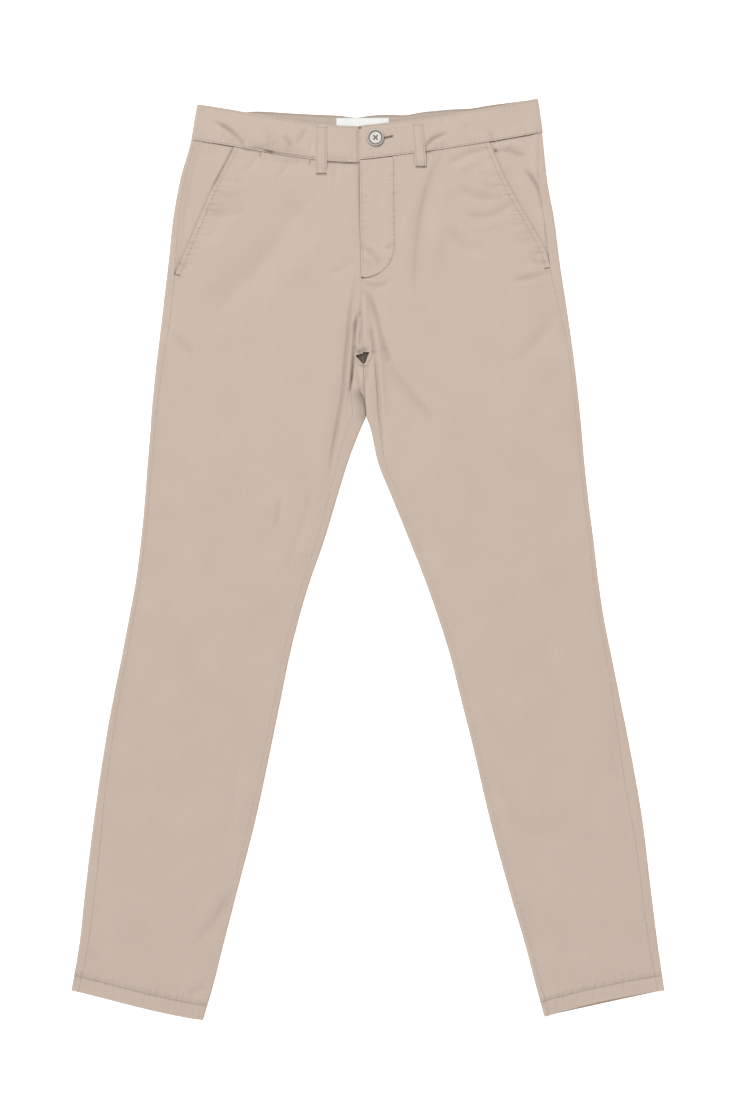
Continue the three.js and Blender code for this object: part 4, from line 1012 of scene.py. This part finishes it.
def stitches(path, pitch=3.2, length=2.5, girth=0.25, turn=0.0):
    """Points and faces of stitches at equal steps along a path. Each ring of a stitch is a hexagon whose
    girth follows a rounded profile. A turn lays the stitches across the path, as in a bartack."""
    steps = np.linalg.norm(np.diff(path, axis=0), axis=1)
    reach = np.concatenate([[0], np.cumsum(steps)])
    count = max(2, int(reach[-1] / pitch))
    at = (np.arange(count) + 0.5) * reach[-1] / count
    centre = np.stack([np.interp(at, reach, path[:, n]) for n in range(3)], axis=1)
    ahead = np.stack([np.interp(at + 0.8, reach, path[:, n]) for n in range(3)], axis=1)
    behind = np.stack([np.interp(at - 0.8, reach, path[:, n]) for n in range(3)], axis=1)
    forward = (ahead - behind) / np.linalg.norm(ahead - behind, axis=1)[:, None]
    side = np.cross([0, 0, 1.0], forward)
    side /= np.linalg.norm(side, axis=1)[:, None]
    up = np.cross(forward, side)
    along = forward * np.cos(turn) + side * np.sin(turn)
    side = np.cross(up, along)
    angle = np.linspace(0, 2 * np.pi, STITCH_SIDES, endpoint=False)
    ring = STITCH_GIRTH[:, None, None] * girth
    local = (
        centre[:, None, None, :]
        + along[:, None, None, :] * (STITCH_RINGS * length / 2)[None, :, None, None]
        + side[:, None, None, :] * (ring * np.cos(angle)[None, :, None])[None]
        + up[:, None, None, :] * (ring * np.sin(angle)[None, :, None])[None]
    )
    rings = len(STITCH_RINGS)
    ids = np.arange(count * rings * STITCH_SIDES).reshape(count, rings, STITCH_SIDES)
    around = np.concatenate([ids, ids[:, :, :1]], axis=2)
    wall = np.stack([around[:, :-1, :-1], around[:, :-1, 1:], around[:, 1:, 1:], around[:, 1:, :-1]], axis=-1)
    return local.reshape(-1, 3), wall.reshape(-1, 4), ids[:, 0, ::-1], ids[:, -1]


def sewing(name, runs, look):
    """Joins several runs of stitches into one mesh, with the ends of each stitch closed."""
    points, walls, caps, total = [], [], [], 0
    for run in runs:
        local, wall, first, last = run
        points.append(local)
        walls.append(wall + total)
        caps.append(np.concatenate([first, last]) + total)
        total += len(local)
    faces = np.concatenate(walls).tolist() + np.concatenate(caps).tolist()
    piece = new_piece(name, np.concatenate(points), faces, look)
    return piece


# Materials
def srgb(red, green, blue):
    """Linear colour of a screen colour given from 0 to 255."""
    c = np.array([red, green, blue]) / 255
    linear = np.where(c <= 0.04045, c / 12.92, ((c + 0.055) / 1.055) ** 2.4)
    return (*linear.tolist(), 1.0)


class Number:
    """A node's output that takes part in arithmetic. Each operator adds one Math node."""

    def __init__(self, look, socket):
        self.look, self.socket = look, socket

    def _with(self, operation, *values):
        node = self.look.node("ShaderNodeMath", dict(operation=operation), dict(enumerate(values)))
        return Number(self.look, node.outputs[0])

    def __add__(self, other):
        return self._with("ADD", self, other)

    def __sub__(self, other):
        return self._with("SUBTRACT", self, other)

    def __rsub__(self, other):
        return self._with("SUBTRACT", other, self)

    def __mul__(self, other):
        return self._with("MULTIPLY", self, other)

    def __pow__(self, other):
        return self._with("POWER", self, other)

    def __rpow__(self, other):
        return self._with("POWER", other, self)

    def __neg__(self):
        return self * -1

    __radd__ = __add__
    __rmul__ = __mul__

    def size(self):
        return self._with("ABSOLUTE", self)

    def bell(self, width):
        """1 where the number is 0, and dying away over the width."""
        return 2.718 ** -((self * (1 / width)) ** 2)

    def fade(self, width):
        """1 where the number is 0, and halved again and again as its size grows."""
        return 0.5 ** (self.size() * (1 / width))


class Look:
    """A procedural material on the Principled shader."""

    def __init__(self, name, **settings):
        self.material = bpy.data.materials.new(name)
        self.material.use_nodes = True
        self.tree = self.material.node_tree
        self.shader = self.tree.nodes["Principled BSDF"]
        for socket, value in settings.items():
            self.shader.inputs[socket.replace("_", " ")].default_value = value
        self.place = self.node("ShaderNodeTexCoord").outputs["Object"]

    def node(self, kind, settings=None, sockets=None):
        """Adds a node: its settings first, then a value or a link for each of its sockets."""
        node = self.tree.nodes.new(kind)
        for setting, value in (settings or {}).items():
            setattr(node, setting, value)
        for socket, value in (sockets or {}).items():
            self.feed(node.inputs[socket], value)
        return node

    def feed(self, socket, value):
        if isinstance(value, Number):
            value = value.socket
        if isinstance(value, bpy.types.NodeSocket):
            self.tree.links.new(value, socket)
        else:
            socket.default_value = value

    def spread(self, kind, settings=None, output=0, **sockets):
        """A texture on the piece's own coordinates, as a number."""
        sockets = {name.replace("_", " "): value for name, value in sockets.items()}
        sockets.setdefault("Vector", self.place)
        return Number(self, self.node(kind, settings, sockets).outputs[output])

    def stretched(self, scale, turn=0.0):
        """The piece's coordinates, turned about Z and scaled."""
        sockets = {"Vector": self.place, "Scale": scale, "Rotation": (0, 0, turn)}
        return self.node("ShaderNodeMapping", None, sockets).outputs[0]

    def mark(self, name):
        """A distance in millimetres that is stored on the piece."""
        return Number(self, self.node("ShaderNodeAttribute", dict(attribute_name=name)).outputs["Fac"])

    def tint(self, factor, first, second):
        node = self.node("ShaderNodeMix", dict(data_type="RGBA"), {0: factor, 6: first, 7: second})
        return node.outputs[2]

    def finish(self, colour, roughness=None, relief_mm=None):
        self.feed(self.shader.inputs["Base Color"], colour)
        if roughness is not None:
            self.feed(self.shader.inputs["Roughness"], roughness)
        if relief_mm is not None:
            bump = self.node("ShaderNodeBump", None, {"Height": relief_mm, "Distance": MM, "Strength": 1.0})
            self.feed(self.shader.inputs["Normal"], bump.outputs[0])
        return self.material


CLOTH_COLOUR = (203, 185, 171)
CLOTH_LIGHT = srgb(*(c + 10 for c in CLOTH_COLOUR))
CLOTH_DARK = srgb(*(c - 10 for c in CLOTH_COLOUR))


# Colour of the shade that is painted into the cloth in creases and along the stitching
PAINTED_SHADE_COLOUR = srgb(92, 78, 66)


def twill_look(name="beige cotton twill", light=CLOTH_LIGHT, dark=CLOTH_DARK, stitch_edge_shade=0.02):
    """Fine slanted ribs of twill with uneven yarns, soft blotches of colour, and along each line of
    stitches a groove with short puckers across it. Painted shade darkens the cloth along the lines of
    stitches and in the creases, by the piece's shade mark. The stitch edge shade is how much shade is
    painted along the stitching beside a sewn edge."""
    look = Look(name, Specular_IOR_Level=0.25, Sheen_Weight=0.15, Sheen_Roughness=0.5)
    ribs = look.spread("ShaderNodeTexWave", dict(bands_direction="X"), Vector=look.stretched((1, 1, 1), 0.96),
                       Scale=260.0, Distortion=1.2, Detail=1.0, Detail_Scale=2.0)
    yarn = look.spread("ShaderNodeTexNoise", None, Scale=1500.0, Detail=2.0)
    blotch = look.spread("ShaderNodeTexNoise", None, Scale=22.0, Detail=3.0)
    crumple = look.spread("ShaderNodeTexNoise", None, Scale=75.0, Detail=2.0)
    slub, across, beside = (
        look.spread("ShaderNodeTexNoise", None, Vector=look.stretched(scale), Scale=1.0, Detail=detail)
        for scale, detail in (((700, 60, 60), 2.0), ((40, 270, 40), 1.5), ((270, 40, 40), 1.5))
    )
    # The last mark is the shade painted into the creases
    slash, seam, hem, waist, edge, painted_crease_shade = (look.mark(mark) for mark in MARKS)
    grooves = slash.bell(0.9) * 0.2 + hem.bell(0.9) * 0.5 + waist.bell(0.8) * 0.25 + edge.bell(0.8) * 0.2
    # Painted shade in the stitch grooves, in the puckers just above the hem stitching and along sewn edges
    sewn = slash.bell(0.9) * 0.03 + hem.bell(0.9) * 0.2 + (hem - 3.2).bell(1.5) * 0.09 + edge.bell(1.0) * stitch_edge_shade
    puckers = (across - 0.5) * (slash.fade(4.5) * 2.6 + seam.fade(2.6) * 1.1)
    puckers = puckers + (beside - 0.5) * (hem.fade(4.5) * 3.2 + waist.fade(4.5) * 2.2 + edge.fade(3.0) * 1.0)
    height = ribs * 0.045 + yarn * 0.05 + blotch * 0.25 + crumple * 0.16 + puckers - grooves
    shade = blotch * 0.36 + yarn * 0.62 + slub * 0.2 - 0.09
    # The creases and the stitch lines are darkened towards the colour of painted shade
    colour = look.tint(painted_crease_shade + sewn, look.tint(shade, dark, light), PAINTED_SHADE_COLOUR)
    return look.finish(colour, 0.8 + yarn * 0.15, height)


def thread_look(name, colour):
    """Twisted cotton thread: fine slanted plies and a slight change of colour."""
    look = Look(name, Specular_IOR_Level=0.35, Sheen_Weight=0.1)
    ply = look.spread("ShaderNodeTexWave", None, Vector=look.stretched((1, 1, 1), 0.8), Scale=900.0)
    fluff = look.spread("ShaderNodeTexNoise", None, Scale=1800.0)
    deep = srgb(*(0.82 * c for c in colour))
    return look.finish(look.tint(ply * 0.6 + fluff * 0.4, deep, srgb(*colour)), 0.7 + fluff * 0.2, ply * 0.06)


def label_look():
    """Smooth woven tape: fine ribs both ways and a soft sheen."""
    look = Look("woven label", Specular_IOR_Level=0.4, Sheen_Weight=0.2)
    warp = look.spread("ShaderNodeTexWave", dict(bands_direction="X"), Scale=480.0)
    weft = look.spread("ShaderNodeTexWave", dict(bands_direction="Y"), Scale=360.0)
    cloud = look.spread("ShaderNodeTexNoise", None, Scale=90.0, Detail=2.0)
    colour = look.tint(cloud * 0.7 + warp * 0.3, srgb(232, 236, 234), srgb(247, 249, 248))
    return look.finish(colour, 0.55 + cloud * 0.15, warp * 0.05 + weft * 0.05)


BUTTON = dict(x=9.0, y=495.0, z=LOOP_LIFT + BAND_LOFT + BAND_CROWN + LAY_GAP, radius=10.0, dish=2.3)


def button_look():
    """Pearl-like resin: clouded cream in the dish and on the rim, with a dark ring of painted shade between
    them and one of painted shadow round the edge.
    """
    look = Look("pearl button", Coat_Weight=0.3, Coat_Roughness=0.15)
    centre = look.node("ShaderNodeCombineXYZ", None, {0: BUTTON["x"] * MM, 1: BUTTON["y"] * MM})
    flat = look.node("ShaderNodeVectorMath", dict(operation="MULTIPLY"), {0: look.place, 1: (1, 1, 0)})
    ends = {0: flat.outputs[0], 1: centre.outputs[0]}
    span = look.node("ShaderNodeVectorMath", dict(operation="DISTANCE"), ends)
    out = Number(look, span.outputs["Value"]) * 1000
    cloud = look.spread("ShaderNodeTexNoise", None, Scale=260.0, Detail=3.0, Distortion=1.5)
    streak = look.spread("ShaderNodeTexNoise", None, Vector=look.stretched((90, 500, 90), 0.5), Scale=1.0)
    pearl = look.tint(cloud * 0.6 + streak * 0.4, srgb(196, 188, 176), srgb(246, 243, 237))
    # Painted shade in a ring where the dish meets the rim, painted shadow round the outer edge, and a
    # slightly darker middle
    ring = (out - 7.7).bell(1.0) * 0.95 + (out - 10.3).bell(0.7) * 0.85 + (out - 1.0).bell(3.0) * 0.12
    colour = look.tint(ring, pearl, srgb(62, 55, 50))
    return look.finish(colour, 0.22 + cloud * 0.12, cloud * 0.05)


TWILL = twill_look()
# The reverse is darker than the face: painted shade for the inside of the back band, which lies below the
# front band
REVERSE = twill_look("reverse of the twill", srgb(200, 185, 172), srgb(185, 169, 157), 0.3)
THREAD = thread_look("tone thread", (203, 185, 169))
BROWN_THREAD = thread_look("brown thread", (112, 92, 76))
HOLE_THREAD = thread_look("buttonhole thread", (138, 118, 101))
DARK_THREAD = thread_look("dark thread", (70, 56, 46))
LABEL = label_look()

# Pieces that replace the plain solids
LOOPS = {
    "belt_loop_front_right": LoopStrip(RIGHT, (-54.2, 509.5), (-54.6, 451.5)),
    "belt_loop_front_left": LoopStrip(LEFT, (58.5, 512), (62.5, 460)),
}
BACK_LOOPS = [
    dict(at="right", x=-130, bottom=466, top=521),
    dict(at="centre", x=-10, bottom=462, top=518),
    dict(at="left", x=112, bottom=470, top=525),
]
LABEL_Z = LOOP_LIFT + BAND_CLOTH + SEAM_GAP


def cloth_pieces():
    """Every shell of cloth, by the name of the solid that it replaces."""
    made = {}
    for half in (RIGHT, LEFT):
        made["front_" + half.name] = front_panel(half, TWILL)
        made["back_" + half.name] = back_panel(half, TWILL)
        made["pocket_facing_" + half.name] = pocket_facing(half, TWILL)
        made["waistband_" + half.name] = waistband(half.name, TWILL)
    made["fly_placket"] = fly_placket(TWILL)
    for name, strip in LOOPS.items():
        made[name] = strip.piece(name + "_cloth", TWILL)
    for loop in BACK_LOOPS:
        name = "belt_loop_back_" + loop["at"]
        place = loop["x"], loop["bottom"], loop["top"]
        made[name] = flat_strip(name + "_cloth", *place, LOOP_WIDTH, 0.0, LOOP_CLOTH, TWILL)
    made["label"] = flat_strip("label_tape", -6, 496, 519, 62, LABEL_Z, THIN_CLOTH, LABEL)
    return made


# Build the cloth pieces and hide the solids that they replace
pieces = cloth_pieces()
for name, piece in pieces.items():
    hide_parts(name)

# Sewing on the upper side
SEW = 0.05  # how high the middle of a thread stands over the cloth
FLY_RISE = 0.4  # how high the fly stands over the front
CROSSWISE = np.pi / 2  # the turn of the stitches in a bartack
EDGE_STITCH = 2.4  # from the centre front edge to its stitches
END_STITCH = 2.2  # from the end of the waistband's left half to its stitches


def on_panel(half, rows, q_of):
    """A line down a front panel, with one point a row, at a distance that depends on the row."""
    cut = Sections(half, rows)
    q = q_of(cut)
    x, y = cut.front(q)
    return path_points(x, y, cut.top(q) + SEW)


def on_band(name, v, from_end, to_end, count=90):
    """A line along the waistband at one height, between two distances from its outer end."""
    cut = BandSections(name, [v])
    q = np.linspace(from_end, to_end, count)[None, :]
    x, y = cut.front(q)
    return path_points(x, y, cut.top(q) + SEW)


def hem_line(half):
    """The stitches along the upper side of the hem."""
    hem = Sections(half, [HEM_Y + HEM_DEPTH])
    q = np.linspace(3, hem.width[0, 0] - 3, 80)[None, :]
    x, y = hem.front(q)
    return stitches(path_points(x, y, hem.top(q) + SEW))


def mouth_line(half):
    """The stitches beside the pocket mouth."""
    rows = np.linspace(WAIST_Y - 1, half.pocket_end_row() + 1, 70)
    return stitches(on_panel(half, rows, lambda cut: half.mouth(cut.outer_y) + POCKET_STITCH))


def pocket_tack(half):
    """The bartack across the foot of the pocket mouth."""
    tack = Sections(half, [half.pocket_end_row()])
    q = half.outseam(tack.outer_y) + np.linspace(0.7, 7.2, 12)[None, :]
    x, y = tack.front(q)
    return stitches(path_points(x, y, tack.top(q) + SEW), 0.7, 1.7, 0.26, CROSSWISE)


def band_lines(half):
    """The stitches along both edges of the waistband."""
    width = BandSections(half.name, [0.5]).width[0, 0]
    stop = width - (10 if half is RIGHT else END_STITCH)
    return [stitches(on_band(half.name, v, 6, stop)) for v in (0.045, 0.955)]


def band_end():
    """The stitches down the end of the left half of the waistband, and the small bartack at its top."""
    band = BandSections("left", np.linspace(0.05, 0.95, 20))
    q = band.width - END_STITCH
    x, y = band.front(q)
    line = stitches(path_points(x, y, band.top(q) - end_thins(-END_STITCH) + SEW))
    width = band.width.mean()
    tack = stitches(on_band("left", 0.93, width - 4.5, width - 1.8, 6), 0.6, 1.6, 0.28, CROSSWISE)
    return line, tack


def fly_lines():
    """The stitches of the fly: those in tone, down the front edge and round the J, and those in brown, low
    on the J and in the bartack that ends it."""
    edge_rows = np.linspace(WAIST_Y - 3, FLY_END_Y + 6, 60)
    edge = on_panel(LEFT, edge_rows, lambda cut: cut.width - EDGE_STITCH)
    edge[:, 2] += FLY_RISE
    angle = np.linspace(0, np.pi / 2, 40)[1:-1]
    straight = np.linspace(WAIST_Y - 3, FLY_END_Y + FLY_CORNER, 50)
    corner = FLY_END_Y + FLY_CORNER * (1 - np.sin(angle) ** (2 / FLY_CURVE))
    rows = np.concatenate([straight, corner])
    j = on_panel(LEFT, rows, lambda cut: cut.width - np.maximum(fly_reach(cut.row) - 1.1, 1.5))
    j[:, 2] += FLY_RISE
    low = j[:, 0] < 15
    tack = on_panel(LEFT, np.linspace(FLY_END_Y + 1.4, FLY_END_Y + 1.0, 6), lambda cut: cut.width - 1.2)
    tack[:, 0] += np.linspace(-0.6, 2.2, 6)
    tack[:, 2] += FLY_RISE + SEW
    in_brown = [stitches(j[low], 2.5, 2.2, 0.24), stitches(tack, 0.6, 2.0, 0.3, CROSSWISE)]
    return [stitches(edge), stitches(j[~low])], in_brown


def loop_lines(strip):
    """The stitches down both sides of a belt loop and its two bartacks, the lower one in brown."""
    sides, tacks = [], []
    for across in (0.16, 0.84):
        x, y, z = strip.at(np.linspace(0.03, 0.97, 40)[:, None], np.array([[across]]))
        lift = LOOP_FACE + 0.2 * np.sin(np.pi * across) + SEW
        sides.append(stitches(path_points(x, y, z + lift), 3.0, 2.3, 0.28))
    for along, rise in ((0.04, 0.08), (0.97, 0.62)):
        x, y, z = strip.at(np.array([[along]]), np.linspace(0.06, 0.94, 14)[None, :])
        tacks.append(stitches(path_points(x, y, z + LOOP_FACE + rise), 0.75, 2.0, 0.28, CROSSWISE))
    return sides + tacks[:1], tacks[1:]


def sew_upper_side():
    """All topstitching in one mesh and all brown bartacks in another."""
    tone, brown = [], []
    for half in (RIGHT, LEFT):
        tone += [hem_line(half), mouth_line(half)] + band_lines(half)
        brown.append(pocket_tack(half))
    end_line, end_tack = band_end()
    fly_tone, fly_brown = fly_lines()
    tone += [end_line] + fly_tone
    brown += fly_brown + [end_tack]
    for strip in LOOPS.values():
        loop_tone, loop_brown = loop_lines(strip)
        tone += loop_tone
        brown += loop_brown
    sewing("topstitching", tone, THREAD)
    sewing("bartacks", brown, BROWN_THREAD)


HOLE_TILT = 0.22  # rise of the buttonhole for each step in x


def sew_buttonhole():
    """Overcast stitches along both sides of the slot and round its eye, and the dark slot between them."""
    x = np.linspace(BUTTON["x"] + 8, BUTTON["x"] + 19.5, 30)
    band = BandSections("left", [0.6])
    y = BUTTON["y"] - 2.4 + HOLE_TILT * (x - BUTTON["x"])
    z = band.top(band.width - (x - CENTRE_X)[None, :])[0]
    sides = [path_points(x, y + shift, z + 0.1) for shift in (0.85, -0.85)]
    angle = np.linspace(-np.pi / 2, np.pi / 2, 12)
    eye = path_points(x[-1] + 1.3 * np.cos(angle), y[-1] + 1.3 * np.sin(angle), np.full(12, z[-1] + 0.1))
    round_slot = [stitches(line, 0.6, 1.3, 0.22, CROSSWISE) for line in sides + [eye]]
    sewing("buttonhole_stitching", round_slot, HOLE_THREAD)
    sewing("buttonhole_slot", [stitches(path_points(x, y, z + 0.02), 2.0, 2.6, 0.26)], DARK_THREAD)


def sew_button():
    """Two pairs of threads that cross over the button's middle, each in a low arch."""
    crossing = []
    reach = np.linspace(-2.1, 2.1, 12)
    for turned, lift in ((1, 0.1), (-1, 0.35)):
        arch = BUTTON["z"] + BUTTON["dish"] + lift + 0.35 * np.cos(reach / 2.1 * np.pi / 2)
        for shift in (-0.28, 0.28):
            line = path_points(BUTTON["x"] + reach + shift, BUTTON["y"] + turned * (reach - shift), arch)
            crossing.append(stitches(line, 2.0, 2.3, 0.28))
    sewing("button_thread", crossing, DARK_THREAD)


sew_upper_side()
sew_buttonhole()
sew_button()
button_materials = bpy.data.objects["button"].data.materials
button_materials.clear()
button_materials.append(button_look())

# Floor, light and camera
FLOOR_REACH = 6.0
FLOOR_DROP = 0.0004
LENS = 85.0
SENSOR = 36.0
VIEW_HEIGHT = 1.3166  # metres of floor that the photo's height covers
VIEW_CENTRE = (0.0002, -0.0008, 0.006)
WORLD_STRENGTH = 0.35


def placed(name, data):
    """Puts an object with this data into the scene."""
    made = bpy.data.objects.new(name, data)
    bpy.context.collection.objects.link(made)
    return made


def pale_floor():
    look = Look("pale floor", Specular_IOR_Level=0.1, Roughness=0.9, Emission_Strength=0.6)
    grain = look.spread("ShaderNodeTexNoise", None, Scale=4.0, Detail=2.0)
    look.finish(look.tint(grain, srgb(246, 246, 246), srgb(252, 252, 252)))
    look.shader.inputs["Emission Color"].default_value = (1, 1, 1, 1)
    mesh = bpy.data.meshes.new("floor")
    around = ((-1, -1), (1, -1), (1, 1), (-1, 1))
    corners = [(x * FLOOR_REACH, y * FLOOR_REACH, -FLOOR_DROP) for x, y in around]
    mesh.from_pydata(corners, [], [(0, 1, 2, 3)])
    mesh.materials.append(look.material)
    placed("floor", mesh)


def soft_light(name, place, spread, power):
    """A far soft light that shines on the garment from a place, as wide as its spread in degrees."""
    data = bpy.data.lights.new(name, "SUN")
    data.angle, data.energy = np.radians(spread), power
    lamp = placed(name, data)
    lamp.location = place
    direction = -np.array(place) / np.linalg.norm(place)
    tilt, heading = np.arccos(-direction[2]), np.arctan2(direction[0], -direction[1])
    lamp.rotation_euler = (tilt, 0, heading + np.pi)


def waist_light():
    """A wide panel of light over the waist, which is a little brighter than the hems."""
    data = bpy.data.lights.new("waist light", "AREA")
    data.size, data.energy = 0.7, 1.25
    panel = placed("waist light", data)
    panel.location = (-0.1, 0.85, 1.0)
    panel.rotation_euler = (np.radians(-18), 0, 0)


def camera_above():
    """A camera straight above the garment, as high as the lens needs to take in the photo's height."""
    data = bpy.data.cameras.new("camera")
    data.lens, data.sensor_width = LENS, SENSOR
    camera = placed("camera", data)
    x, y, z = VIEW_CENTRE
    camera.location = (x, y, z + VIEW_HEIGHT / 2 / (SENSOR / 2 / LENS))
    bpy.context.scene.camera = camera


pale_floor()
world = bpy.data.worlds.new("studio")
world.use_nodes = True
world.node_tree.nodes["Background"].inputs["Color"].default_value = (1, 1, 1, 1)
world.node_tree.nodes["Background"].inputs["Strength"].default_value = WORLD_STRENGTH
bpy.context.scene.world = world
soft_light("key light", (-0.9, 0.8, 2.2), 16, 1.64)
soft_light("fill light", (1.2, -0.6, 2.6), 40, 0.45)
waist_light()
camera_above()
bpy.context.scene.view_settings.view_transform = "Standard"
